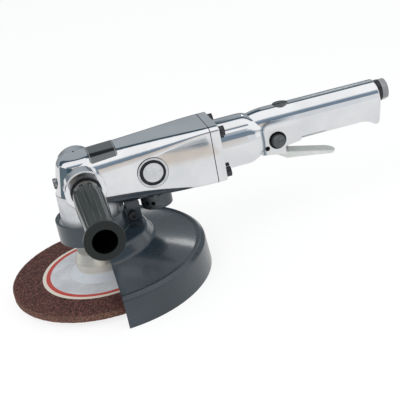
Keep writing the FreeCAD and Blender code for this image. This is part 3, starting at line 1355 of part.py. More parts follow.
def lever_line(x):
    """Height of the lever's upper edge at x."""
    start_x, start_z = LEVER_PIVOT_X + LEVER_EYE_RADIUS, LEVER_PIVOT_Z
    if x <= LEVER_BEND_X:
        return start_z + (LEVER_BEND_Z - start_z) * (x - start_x) / (LEVER_BEND_X - start_x)
    return LEVER_BEND_Z + (LEVER_TIP_Z - LEVER_BEND_Z) * (x - LEVER_BEND_X) / (LEVER_TIP_X - LEVER_BEND_X)


def throttle_lever():
    """A pressed steel channel: two eyes on the pin, a top plate, and side walls that taper to a round tip."""
    top = [(x, lever_line(x)) for x in (LEVER_WEB_X, LEVER_BEND_X, LEVER_TIP_X)]
    sheet = [*top, *((x, z - LEVER_SHEET) for x, z in reversed(top))]
    web = plate_y(sheet, -LEVER_HALF_WIDTH, 2 * LEVER_HALF_WIDTH)
    side = (
        (LEVER_PIVOT_X + LEVER_EYE_RADIUS, LEVER_PIVOT_Z),
        (LEVER_BEND_X, LEVER_BEND_Z),
        (LEVER_TIP_X, LEVER_TIP_Z),
        (LEVER_TIP_X, LEVER_TIP_Z - LEVER_TIP_DEPTH),
        (LEVER_BEND_X, LEVER_BEND_Z - LEVER_ROOT_DEPTH),
        (LEVER_PIVOT_X, LEVER_PIVOT_Z - LEVER_EYE_RADIUS),
        (LEVER_PIVOT_X, LEVER_PIVOT_Z),
    )
    inner = LEVER_HALF_WIDTH - LEVER_SHEET
    eye = rod_y(LEVER_EYE_RADIUS, inner, LEVER_HALF_WIDTH, LEVER_PIVOT_X, LEVER_PIVOT_Z)
    wall = plate_y(side, inner, LEVER_SHEET).fuse(eye)
    hole = rod_y(
        LEVER_PIN_RADIUS + RUN_GAP,
        -LEVER_HALF_WIDTH - CUT_OVERRUN,
        LEVER_HALF_WIDTH + CUT_OVERRUN,
        LEVER_PIVOT_X,
        LEVER_PIVOT_Z,
    )
    low, high = LEVER_TIP_Z - LEVER_ROOT_DEPTH, LEVER_PIVOT_Z + LEVER_EYE_RADIUS
    tip_x = LEVER_TIP_X - LEVER_HALF_WIDTH
    start_x = LEVER_PIVOT_X - LEVER_EYE_RADIUS
    outline = block(start_x, tip_x, -LEVER_HALF_WIDTH, LEVER_HALF_WIDTH, low, high)
    outline = outline.fuse(rod_z(LEVER_HALF_WIDTH, low, high, tip_x))
    return web.fuse(both_sides(wall)).common(outline).cut(hole)


def throttle_valve():
    """The headed pin that the lever lifts off its seat."""
    foot = lever_line(VALVE_X - VALVE_STEM_RADIUS) + SLIP_GAP
    stem = rod_z(VALVE_STEM_RADIUS, foot, VALVE_SEAT_Z, VALVE_X)
    head = rod_z(VALVE_HEAD_RADIUS, VALVE_SEAT_Z, VALVE_SEAT_Z + VALVE_HEAD_THICKNESS, VALVE_X)
    return stem.fuse(head)


def valve_spring():
    """The coil that closes the valve."""
    low = VALVE_SEAT_Z + VALVE_HEAD_THICKNESS + SPRING_WIRE_RADIUS + RUN_GAP
    rise = VALVE_CAP_Z - SPRING_WIRE_RADIUS - RUN_GAP - low
    path = Part.makeHelix(rise / SPRING_TURNS, rise, SPRING_COIL_RADIUS)
    ring = Part.Wire(Part.Circle(point(SPRING_COIL_RADIUS, 0, 0), ACROSS, SPRING_WIRE_RADIUS).toShape())
    coil = Part.Wire(path.Edges).makePipeShell([ring], True, True)
    coil.translate(point(VALVE_X, 0, low))
    return coil


def valve_cap():
    """The slotted plug over the valve, let into the top of the handle."""
    cap = rod_z(VALVE_CAP_RADIUS, VALVE_CAP_Z, GRIP_TOP_Z, VALVE_X)
    slot = block(
        VALVE_X - VALVE_CAP_RADIUS - CUT_OVERRUN,
        VALVE_X + VALVE_CAP_RADIUS + CUT_OVERRUN,
        -VALVE_CAP_SLOT / 2,
        VALVE_CAP_SLOT / 2,
        GRIP_TOP_Z - VALVE_CAP_SLOT,
        GRIP_TOP_Z + CUT_OVERRUN,
    )
    return cap.cut(slot)


def regulator_knob():
    """The power regulator: a knob in a well on the side of the handle and a stem across the air way."""
    side = GRIP_TOP_RADIUS
    face = -side - REGULATOR_PROUD
    back = -side + REGULATOR_WELL_DEPTH - SLIP_GAP
    head = rod_y(REGULATOR_HEAD_RADIUS, face, back, REGULATOR_X, REGULATOR_Z)
    head = head.makeChamfer(REGULATOR_CHAMFER, edges_at(head, lambda c: c.y < face + RUN_GAP))
    stem = rod_y(REGULATOR_STEM_RADIUS, back, REGULATOR_REACH - side - SLIP_GAP, REGULATOR_X, REGULATOR_Z)
    return head.fuse(stem)


def write(name, shape):
    """Writes one sub-part, and stops if it isn't made of sound solids."""
    volume = sum(solid.Volume for solid in shape.Solids)
    print(f"{name}: {len(shape.Solids)} solids, {volume:.0f} mm3")
    if volume <= 0 or not shape.isValid():
        raise ValueError(f"{name} is not a sound solid")
    shape.exportStep(f"parts/{name}.step")


def main():
    os.makedirs("parts", exist_ok=True)
    lower_outer, lower_inner, lower_balls = lower_bearing()
    rear_bearing_x = MOTOR_END_X - ROTOR_BEARING_WIDTH
    front_outer, front_inner = bearing_rings(ROTOR_BEARING_RADIUS, ROTOR_SHAFT_RADIUS, ROTOR_BEARING_WIDTH)
    rear_outer, rear_inner = bearing_rings(ROTOR_BEARING_RADIUS, ROTOR_SHAFT_RADIUS, ROTOR_BEARING_WIDTH)
    parts = {
        "grinding_wheel": grinding_wheel(),
        "wheel_label": wheel_label(),
        "backing_flange": backing_flange(),
        "wheel_nut": wheel_nut(),
        "spindle": spindle(),
        "gear_spacer": gear_spacer(),
        "bevel_gear": bevel_wheel(),
        "bevel_pinion": bevel_pinion(),
        "lower_bearing_outer_ring": lower_outer,
        "lower_bearing_inner_ring": lower_inner,
        "lower_bearing_balls": lower_balls,
        "bearing_snap_ring": bearing_snap_ring(),
        "upper_spindle_bush": upper_bush(),
        "bearing_cap": bearing_cap(),
        "spindle_seal": spindle_seal(),
        "cap_gasket": cap_gasket(),
        "gear_case": gear_case(),
        "grease_plug": grease_plug(),
        "name_plate": name_plate(),
        "round_badge": round_badge(),
        "flange_screws": flange_screws(),
        "side_handle_collar": side_handle_collar(),
        "side_handle_stud": side_handle_stud(),
        "side_handle_grip": side_handle_grip(),
        "cylinder_liner": cylinder_liner(),
        "front_end_plate": end_plate(MOTOR_BORE_X, MOTOR_BORE_X),
        "rear_end_plate": end_plate(REAR_PLATE_X, rear_bearing_x),
        "front_bearing_outer_ring": placed_on_rotor(front_outer, MOTOR_BORE_X),
        "front_bearing_inner_ring": placed_on_rotor(front_inner, MOTOR_BORE_X),
        "rear_bearing_outer_ring": placed_on_rotor(rear_outer, rear_bearing_x),
        "rear_bearing_inner_ring": placed_on_rotor(rear_inner, rear_bearing_x),
        "rotor": rotor(),
        "rotor_vanes": rotor_vanes(),
        "exhaust_deflector": exhaust_deflector(),
        "deflector_screw": deflector_screw(),
        "wheel_guard": wheel_guard(),
        "clamp_screw": clamp_screw(),
        "clamp_nut": clamp_nut(),
        "flange_gasket": flange_gasket(),
        "throttle_handle": throttle_handle(),
        "inlet_collar": inlet_collar(),
        "inlet_bushing": inlet_bushing(),
        "inlet_strainer": inlet_strainer(),
        "lever_pin": lever_pin(),
        "throttle_lever": throttle_lever(),
        "throttle_valve": throttle_valve(),
        "valve_spring": valve_spring(),
        "valve_cap": valve_cap(),
        "regulator_knob": regulator_knob(),
    }
    for name, shape in parts.items():
        write(name, shape)


main()
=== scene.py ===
"""Looks of a lever-throttle pneumatic angle grinder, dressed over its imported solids.

Every length is in metres, in the same frame as the solids: the spindle on +Z, the handle along +X.
"""
import logging
import math
from contextlib import contextmanager
from dataclasses import dataclass, field
from enum import Enum
from typing import Callable, Iterator, Sequence

import bmesh
import bpy
from mathutils import Matrix, Vector


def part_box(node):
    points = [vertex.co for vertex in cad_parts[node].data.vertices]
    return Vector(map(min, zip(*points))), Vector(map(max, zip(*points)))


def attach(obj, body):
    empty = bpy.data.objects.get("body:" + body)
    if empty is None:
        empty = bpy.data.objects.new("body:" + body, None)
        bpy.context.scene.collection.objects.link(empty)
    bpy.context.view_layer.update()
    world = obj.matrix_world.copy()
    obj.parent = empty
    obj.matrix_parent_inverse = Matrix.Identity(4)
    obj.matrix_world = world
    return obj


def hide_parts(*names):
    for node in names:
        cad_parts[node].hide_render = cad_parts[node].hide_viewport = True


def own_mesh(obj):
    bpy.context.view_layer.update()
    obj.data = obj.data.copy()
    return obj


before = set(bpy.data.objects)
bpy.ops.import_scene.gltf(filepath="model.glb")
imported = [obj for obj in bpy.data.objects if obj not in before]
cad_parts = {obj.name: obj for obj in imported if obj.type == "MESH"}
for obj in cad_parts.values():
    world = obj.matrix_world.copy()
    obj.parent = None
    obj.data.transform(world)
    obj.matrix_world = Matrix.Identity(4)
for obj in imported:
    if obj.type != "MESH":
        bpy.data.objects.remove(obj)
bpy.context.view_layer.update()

LOG = logging.getLogger("grinder")

Colour = tuple[float, float, float, float]
Place = tuple[float, float, float]
Span = tuple[float, float]
Piece = bpy.types.Object
Socket = bpy.types.NodeSocket
Value = float | Colour | Place | Socket
Inputs = dict[int | str, Value]

ORIGIN = (0.0, 0.0, 0.0)
EVEN = (1.0, 1.0, 1.0)
MIDDLE = (0.3, 0.7)  # the levels that most of a noise lies between
WHITE = (1.0, 1.0, 1.0, 1.0)
MOTOR_AXIS_Z = 0.0984
GRIP_AXIS_Z = 0.102
INLET_AXIS_Z = 0.1116
REGULATOR_AXIS = (0.188, 0.0, 0.094)
FLOOR_Z = -0.006
QUARTER_TURN = math.radians(90)
THIN_WORK = 50.0  # degrees over which an edge stays sharp on threads, wires and coils
FACES_UP = 0.9  # least upward lean of a face that is a top


class Body(Enum):
    """The moving bodies that a piece can ride on."""

    HOUSING = "housing"
    SPINDLE = "spindle"
    GUARD = "guard"
    REGULATOR = "regulator"


class Axis(Enum):
    """A direction of the frame, as its unit vector."""

    X = (1.0, 0.0, 0.0)
    Y = (0.0, 1.0, 0.0)
    Z = (0.0, 0.0, 1.0)

    @property
    def vector(self) -> Vector:
        """The direction as a vector."""
        return Vector(self.value)


def paint(red: int, green: int, blue: int) -> Colour:
    """A colour as seen on a screen, 0 to 255, turned into the linear values a shader takes.

    Args:
        red: red of the screen colour.
        green: green of the screen colour.
        blue: blue of the screen colour.

    Returns:
        The linear colour, opaque.
    """
    def linear(level: int) -> float:
        """One channel made linear."""
        share = level / 255
        return share / 12.92 if share <= 0.04045 else ((share + 0.055) / 1.055) ** 2.4

    return linear(red), linear(green), linear(blue), 1.0


@dataclass(frozen=True)
class Grain:
    """A noise pattern: its fineness per metre, its finer layers and their strength, and its stretch."""

    fineness: float
    layers: float = 3.0
    rough: float = 0.5
    stretch: Place = EVEN


@dataclass(frozen=True)
class NodeSheet:
    """The node sheet of one material or world, with short calls for what a finish needs."""

    tree: bpy.types.NodeTree

    @staticmethod
    def of(owner: bpy.types.Material | bpy.types.World) -> "NodeSheet":
        """Turns nodes on for a material or a world, and opens its sheet."""
        owner.use_nodes = True
        return NodeSheet(owner.node_tree)

    def wire(self, node: bpy.types.Node, inputs: Inputs) -> None:
        """Sets a node's inputs to values, or links them to other nodes' outputs.

        Args:
            node: the node.
            inputs: what goes into each input, by its number or name.
        """
        for place, value in inputs.items():
            if isinstance(value, Socket):
                self.tree.links.new(value, node.inputs[place])
            else:
                node.inputs[place].default_value = value

    def make(self, kind: str, inputs: Inputs, output: int | str = 0, **choices: str) -> Socket:
        """Adds a node and wires its inputs.

        Args:
            kind: the node's type name, after "ShaderNode".
            inputs: what goes into each input, by its number or name.
            output: the output that is wanted.
            choices: the node's own settings.

        Returns:
            That output.
        """
        node = self.tree.nodes.new(f"ShaderNode{kind}")
        for name, choice in choices.items():
            setattr(node, name, choice)
        self.wire(node, inputs)
        return node.outputs[output]

    def coat(self, inputs: Inputs) -> None:
        """Wires the inputs of the material's own shader."""
        self.wire(self.tree.nodes["Principled BSDF"], inputs)

    def show(self, surface: Socket) -> None:
        """Makes a shader the surface of the material or world."""
        output = next(node for node in self.tree.nodes if node.type.startswith("OUTPUT"))
        self.wire(output, {0: surface})

    def coords(self, centre: Place = ORIGIN, stretch: Place = EVEN) -> Socket:
        """Object coordinates moved and stretched for a pattern.

        Args:
            centre: the point that becomes the pattern's middle.
            stretch: how much finer the pattern is along each axis.

        Returns:
            The coordinates.
        """
        source = self.make("TexCoord", {}, "Object")
        moved = self.make("VectorMath", {0: source, 1: centre}, operation="SUBTRACT")
        return self.make("Mapping", {"Vector": moved, "Scale": stretch})

    def along(self, axis: Axis) -> Socket:
        """How far a point lies along one axis of the frame."""
        return self.make("SeparateXYZ", {0: self.coords()}, axis.name)

    def radius(self, centre: Place, axis: Axis) -> Socket:
        """How far a point is from a line through a centre along an axis."""
        flat = tuple(0.0 if part else 1.0 for part in axis.value)
        return self.make("VectorMath", {0: self.coords(centre, flat)}, "Value", operation="LENGTH")

    def noise(self, grain: Grain, centre: Place = ORIGIN) -> Socket:
        """Soft cloudy noise from 0 to 1.

        Args:
            grain: the pattern.
            centre: the point that it is laid out from.

        Returns:
            Its level.
        """
        inputs = {"Vector": self.coords(centre, grain.stretch), "Scale": grain.fineness}
        return self.make("TexNoise", inputs | {"Detail": grain.layers, "Roughness": grain.rough}, "Fac")

    def cells(self, fineness: float, tinted: bool = False) -> Socket:
        """Grains packed side by side.

        Args:
            fineness: grains per metre.
            tinted: whether to give each grain's own level and not the distance from its middle.

        Returns:
            The distance from each grain's middle, or a level that is even over each grain.
        """
        inputs = {"Vector": self.coords(), "Scale": fineness}
        if tinted:
            return self.make("SeparateColor", {0: self.make("TexVoronoi", inputs, "Color")})
        return self.make("TexVoronoi", inputs, "Distance")

    def maths(self, operation: str, first: Value, second: Value = 0.0) -> Socket:
        """One sum of one or two numbers, by its name."""
        return self.make("Math", {0: first, 1: second}, operation=operation)

    def times(self, first: Value, *others: Value) -> Socket:
        """The product of two or more numbers.

        Args:
            first: the first number.
            others: the numbers that it is multiplied by.

        Returns:
            The product.
        """
        for value in others:
            first = self.maths("MULTIPLY", first, value)
        return first

    def between(self, value: Socket, low: float, high: float) -> Socket:
        """1 where a value lies between two limits, and 0 elsewhere."""
        return self.times(self.maths("GREATER_THAN", value, low), self.maths("LESS_THAN", value, high))

    def spread(self, value: Socket, start: float, end: float, low: float = 0.0, high: float = 1.0) -> Socket:
        """A value's range stretched to another, and held there.

        Args:
            value: the value.
            start: where it gives low.
            end: where it gives high.
            low: the answer at start and before.
            high: the answer at end and beyond.

        Returns:
            The stretched value.
        """
        limits = {"From Min": start, "From Max": end, "To Min": low, "To Max": high}
        return self.make("MapRange", {"Value": value} | limits)

    def ramp(self, value: Socket, stops: Sequence[tuple[float, Colour]]) -> Socket:
        """Colours along a value.

        Args:
            value: from 0 to 1.
            stops: each place and its colour.

        Returns:
            The colour.
        """
        colour = self.make("ValToRGB", {0: value})
        elements = colour.node.color_ramp.elements
        while len(elements) < len(stops):
            elements.new(0.5)
        for element, (at, tone) in zip(elements, stops):
            element.position = at
            element.color = tone
        return colour

    def blend(self, share: Value, first: Value, second: Value) -> Socket:
        """A colour that goes from the first to the second by a share."""
        return self.make("Mix", {0: share, 6: first, 7: second}, 2, data_type="RGBA")

    def fade(self, share: Value, first: Value, second: Value) -> Socket:
        """A number that goes from the first to the second by a share."""
        return self.make("Mix", {0: share, 2: first, 3: second})

    def relief(self, height: Socket, strength: float, depth: float, under: Socket | None = None) -> Socket:
        """Small relief.

        Args:
            height: level of the relief from 0 to 1.
            strength: how strongly it shows.
            depth: its real depth in metres.
            under: relief that it lies on.

        Returns:
            The normal.
        """
        ground = {} if under is None else {"Normal": under}
        return self.make("Bump", {"Strength": strength, "Distance": depth, "Height": height} | ground)

    def glow(self, colour: Value, strength: Value = 1.0) -> Socket:
        """A surface that gives off light."""
        return self.make("Emission", {"Color": colour, "Strength": strength})


@dataclass(frozen=True)
class Finish:
    """What every finish has: a name, and a material made once."""

    name: str

    def material(self) -> bpy.types.Material:
        """The finish's material, made on its first use.

        Returns:
            The material.
        """
        made = bpy.data.materials.get(f"finish_{self.name}")
        if made is None:
            made = bpy.data.materials.new(f"finish_{self.name}")
            self.dress(NodeSheet.of(made))
        return made

    def dress(self, sheet: NodeSheet) -> None:
        """Wires the finish's own nodes."""
        raise NotImplementedError


@dataclass(frozen=True)
class PolishedCasting(Finish):
    """Buffed metal: near-mirror, with faint buffing lines and slow waves."""

    bright: Colour = paint(240, 241, 243)
    dull: Colour = paint(228, 230, 233)
    roughness: Span = (0.045, 0.11)
    lines: Grain = Grain(1.0, 4.0, 0.6, (40.0, 900.0, 900.0))
    line_span: Span = (0.3, 0.75)
    line_relief: Span = (0.02, 0.00002)
    clouds: Grain = Grain(38.0, 4.0)
    cloud_span: Span = (0.35, 0.7)
    waves: Grain = Grain(22.0, 1.0)
    wave_relief: Span = (0.12, 0.0006)

    def dress(self, sheet: NodeSheet) -> None:
        """Wires the finish's own nodes.

        Args:
            sheet: the material's nodes.
        """
        lines = sheet.noise(self.lines)
        colour = sheet.blend(sheet.spread(sheet.noise(self.clouds), *self.cloud_span), self.bright, self.dull)
        colour, roughness = self.local(sheet, colour, sheet.spread(lines, *self.line_span, *self.roughness))
        normal = sheet.relief(sheet.noise(self.waves), *self.wave_relief)
        normal = sheet.relief(lines, *self.line_relief, normal)
        sheet.coat({"Base Color": colour, "Roughness": roughness, "Normal": normal, "Metallic": 1.0})

    def local(self, sheet: NodeSheet, colour: Socket, roughness: Socket) -> tuple[Socket, Socket]:
        """The colour and roughness with what changes them in places: nothing, on a plain casting."""
        return colour, roughness


@dataclass(frozen=True)
class HandleCasting(PolishedCasting):
    """The handle's polish, with the valve block's brushed cheeks, a painted dark reflection along their edge
    and painted shade in the regulator's recess.
    """

    brushed: Colour = paint(236, 236, 238)
    brushed_share: float = 0.6
    brushed_low: Place = (0.1715, -0.02, 0.0762)
    brushed_high: Place = (0.2118, 0.02, 0.1055)
    brushed_roughness: Span = (0.28, 0.44)
    strokes: Grain = Grain(1.0, stretch=(60.0, 60.0, 2600.0))
    stroke_span: Span = (0.2, 0.8)
    # painted reflection: the dark blue-grey that the valve block's rounded front edge mirrors, laid on as
    # colour
    cheek_reflection: Colour = paint(120, 136, 148)
    cheek_front: float = 0.1735
    cheek_top: float = 0.1128
    cheek_corner: float = 0.009
    cheek_line: float = 0.0027
    cheek_feather: float = 0.0002
    cheek_side: Span = (0.0138, 0.0148)
    cheek_fade_shares: Span = (4.0, 1.5)
    # painted shade: the dark colour laid in the regulator's recess on the handle, where shade falls round the
    # knob
    well_shade: Colour = paint(44, 48, 52)
    well_y: float = -0.01645
    well_radius: float = 0.00875

    def local(self, sheet: NodeSheet, colour: Socket, roughness: Socket) -> tuple[Socket, Socket]:
        """The colour and roughness with the brushed cheeks, the painted reflection along their edge and the
        painted shade in the regulator's recess laid over them.

        Args:
            sheet: the material's nodes.
            colour: the colour of the plain polish.
            roughness: its roughness.

        Returns:
            The colour and the roughness.
        """
        limits = zip(Axis, self.brushed_low, self.brushed_high)
        inside = sheet.times(*(sheet.between(sheet.along(axis), low, high) for axis, low, high in limits))
        strokes = sheet.spread(sheet.noise(self.strokes), *self.stroke_span, *self.brushed_roughness)
        colour = sheet.blend(sheet.times(inside, self.brushed_share), colour, self.brushed)
        # painted reflection along the front edge and rounded top corner of the valve block's flat sides
        colour = sheet.blend(self.cheek_reflection_mask(sheet), colour, self.cheek_reflection)
        # painted shade inside the regulator's recess
        near = sheet.maths("LESS_THAN", sheet.radius(REGULATOR_AXIS, Axis.Y), self.well_radius)
        sunk = sheet.maths("GREATER_THAN", sheet.along(Axis.Y), self.well_y)
        return sheet.blend(sheet.times(near, sunk), colour, self.well_shade), sheet.fade(inside, roughness, strokes)

    def cheek_reflection_mask(self, sheet: NodeSheet) -> Socket:
        """Painted reflection: a dark line along the front and the rounded top corner of the valve block's
        flat cheeks, where that rounded edge mirrors the room.

        Args:
            sheet: the material's nodes.

        Returns:
            The painted reflection's share, from 0 to 1.
        """
        x, z, corner = sheet.along(Axis.X), sheet.along(Axis.Z), self.cheek_corner
        before = sheet.maths("MAXIMUM", sheet.maths("SUBTRACT", self.cheek_front + corner, x))
        above = sheet.maths("MAXIMUM", sheet.maths("SUBTRACT", z, self.cheek_top - corner))
        away = sheet.maths("ADD", sheet.maths("POWER", before, 2.0), sheet.maths("POWER", above, 2.0))
        off = sheet.maths("ABSOLUTE", sheet.maths("SUBTRACT", sheet.maths("SQRT", away), corner))
        line = sheet.spread(off, self.cheek_line, self.cheek_feather)
        outer = sheet.spread(sheet.maths("ABSOLUTE", sheet.along(Axis.Y)), *self.cheek_side)
        rear = sheet.spread(x, *(self.cheek_front + share * corner for share in self.cheek_fade_shares))
        front = sheet.maths("GREATER_THAN", x, self.cheek_front - 2 * self.cheek_line)
        return sheet.times(line, outer, rear, front)


@dataclass(frozen=True)
class CastSkin(Finish):
    """Aluminium as it leaves the mould: matte, with a fine pebbled skin."""

    light: Colour = paint(230, 231, 233)
    dark: Colour = paint(194, 196, 200)
    metallic: float = 0.55
    roughness: Span = (0.36, 0.56)
    pebbles: Grain = Grain(900.0, 4.0, 0.65)
    pebble_relief: Span = (0.35, 0.00015)
    stains: Grain = Grain(55.0, 5.0, 0.6)
    stain_span: Span = (0.42, 0.72)
    speck_fineness: float = 700.0
    speck_span: Span = (0.16, 0.0)
    speck_share: float = 0.35

    def dress(self, sheet: NodeSheet) -> None:
        """Wires the finish's own nodes.

        Args:
            sheet: the material's nodes.
        """
        pebbles = sheet.noise(self.pebbles)
        colour = sheet.blend(sheet.spread(sheet.noise(self.stains), *self.stain_span), self.light, self.dark)
        specks = sheet.spread(sheet.cells(self.speck_fineness), *self.speck_span)
        sheet.coat({
            "Base Color": sheet.blend(sheet.times(specks, self.speck_share), colour, self.dark),
            "Roughness": sheet.spread(pebbles, *MIDDLE, *self.roughness),
            "Normal": sheet.relief(pebbles, *self.pebble_relief),
            "Metallic": self.metallic,
        })


@dataclass(frozen=True)
class TurnedMetal(Finish):
    """Metal from the lathe: fine rings round an axis, over a faintly stained ground."""

    light: Colour
    dark: Colour
    centre: Place
    axis: Axis
    roughness: float = 0.28
    pitch: float = 0.0004
    metallic: float = 1.0
    ring_layers: float = 2.0
    ring_run: float = 0.02
    ring_share: float = 0.6
    ring_relief: Span = (0.18, 0.00004)
    facing: Grain = Grain(600.0, 2.0)
    stains: Grain = Grain(90.0, 5.0, 0.6)
    tone_span: Span = (0.35, 0.65)
    smoother: float = 0.07
    rougher: float = 0.09

    def dress(self, sheet: NodeSheet) -> None:
        """Wires the finish's own nodes.

        Args:
            sheet: the material's nodes.
        """
        stretch = tuple(1.0 if part else self.ring_run for part in self.axis.value)
        rings = sheet.noise(Grain(1.0 / self.pitch, self.ring_layers, stretch=stretch), self.centre)
        stains = sheet.times(sheet.noise(self.stains), 1.0 - self.ring_share)
        tone = sheet.maths("ADD", sheet.times(rings, self.ring_share), stains)
        limits = self.roughness - self.smoother, self.roughness + self.rougher
        sheet.coat({
            "Base Color": sheet.blend(sheet.spread(tone, *self.tone_span), self.light, self.dark),
            "Roughness": sheet.spread(sheet.noise(self.facing), *MIDDLE, *limits),
            "Normal": sheet.relief(rings, *self.ring_relief),
            "Metallic": self.metallic,
        })


@dataclass(frozen=True)
class DarkenedSteel(Finish):
    """Oil-blacked steel: dark and satin, greyer and smoother where it has been handled."""

    dark: Colour
    worn: Colour
    roughness: float = 0.34
    grain: float = 1400.0
    grain_relief: Span = (0.1, 0.00004)
    rubbed: Grain = Grain(240.0, 4.0)
    rubbed_span: Span = (0.5, 0.78)
    smoother: float = 0.06
    rougher: float = 0.12
    metallic: float = 0.75

    def dress(self, sheet: NodeSheet) -> None:
        """Wires the finish's own nodes.

        Args:
            sheet: the material's nodes.
        """
        rubbed = sheet.noise(self.rubbed)
        limits = self.roughness + self.rougher, self.roughness - self.smoother
        sheet.coat({
            "Base Color": sheet.blend(sheet.spread(rubbed, *self.rubbed_span), self.dark, self.worn),
            "Roughness": sheet.spread(rubbed, *MIDDLE, *limits),
            "Normal": sheet.relief(sheet.noise(Grain(self.grain)), *self.grain_relief),
            "Metallic": self.metallic,
        })


@dataclass(frozen=True)
class GuardEnamel(Finish):
    """Stoved blue-grey enamel with a slight orange peel, dusted by grinding towards its rim."""

    ground: Colour = paint(46, 60, 70)
    deep: Colour = paint(37, 49, 58)
    clouds: Grain = Grain(26.0, 4.0)
    cloud_span: Span = (0.35, 0.68)
    dust: Colour = paint(96, 100, 104)
    dust_specks: Grain = Grain(1500.0, 3.0, 0.7)
    dust_span: Span = (0.62, 0.72)
    dust_share: float = 0.35
    dust_heights: Span = (0.03, FLOOR_Z)
    dust_least: float = 0.15
    roughness: Span = (0.2, 0.3)
    peel: Grain = Grain(420.0, 2.0)
    peel_relief: Span = (0.06, 0.00012)
    gloss: float = 0.55
    clear_coat: float = 0.5
    coat_roughness: float = 0.12

    def dress(self, sheet: NodeSheet) -> None:
        """Wires the finish's own nodes.

        Args:
            sheet: the material's nodes.
        """
        clouds = sheet.noise(self.clouds)
        specks = sheet.times(sheet.spread(sheet.noise(self.dust_specks), *self.dust_span), self.dust_share)
        low = sheet.spread(sheet.along(Axis.Z), *self.dust_heights, self.dust_least)
        colour = sheet.blend(sheet.spread(clouds, *self.cloud_span), self.ground, self.deep)
        sheet.coat({
            "Base Color": sheet.blend(sheet.times(specks, low), colour, self.dust),
            "Roughness": sheet.spread(clouds, *MIDDLE, *self.roughness),
            "Normal": sheet.relief(sheet.noise(self.peel), *self.peel_relief),
            "Specular IOR Level": self.gloss,
            "Coat Weight": self.clear_coat,
            "Coat Roughness": self.coat_roughness,
        })


@dataclass(frozen=True)
class MouldedGrip(Finish):
    """Glossy moulded plastic with faint flow lines along its length, a charcoal end face and painted shade,
    near-black, inside its bore.
    """

    ground: Colour = paint(26, 30, 28)
    tint: Colour = paint(40, 45, 41)
    flow: Grain = Grain(1.0, stretch=(420.0, 22.0, 420.0))
    flow_span: Span = (0.38, 0.66)
    flow_relief: Span = (0.05, 0.00006)
    scuffs: Grain = Grain(330.0, 5.0, 0.65)
    scuff_span: Span = (0.35, 0.75)
    roughness: Span = (0.09, 0.18)
    face: Colour = paint(38, 42, 41)
    face_y: float = -0.1455
    face_roughness: float = 0.4
    gloss: Span = (0.5, 0.2)
    # painted shade: the near-black laid inside the grip's bore, where shadow falls in the hole
    bore: Colour = paint(6, 9, 8)
    bore_radius: float = 0.0104

    def dress(self, sheet: NodeSheet) -> None:
        """Wires the finish's own nodes.

        Args:
            sheet: the material's nodes.
        """
        flow = sheet.noise(self.flow)
        end = sheet.maths("LESS_THAN", sheet.along(Axis.Y), self.face_y)
        # painted shade inside the bore
        bore_shade = sheet.maths("LESS_THAN", sheet.radius((0.0, 0.0, GRIP_AXIS_Z), Axis.Y), self.bore_radius)
        colour = sheet.blend(sheet.spread(flow, *self.flow_span), self.ground, self.tint)
        colour = sheet.blend(end, colour, self.face)
        scuffs = sheet.spread(sheet.noise(self.scuffs), *self.scuff_span, *self.roughness)
        sheet.coat({
            "Base Color": sheet.blend(bore_shade, colour, self.bore),
            "Roughness": sheet.maths("ADD", scuffs, sheet.times(end, self.face_roughness)),
            "Normal": sheet.relief(flow, *self.flow_relief),
            "Specular IOR Level": sheet.fade(end, *self.gloss),
        })


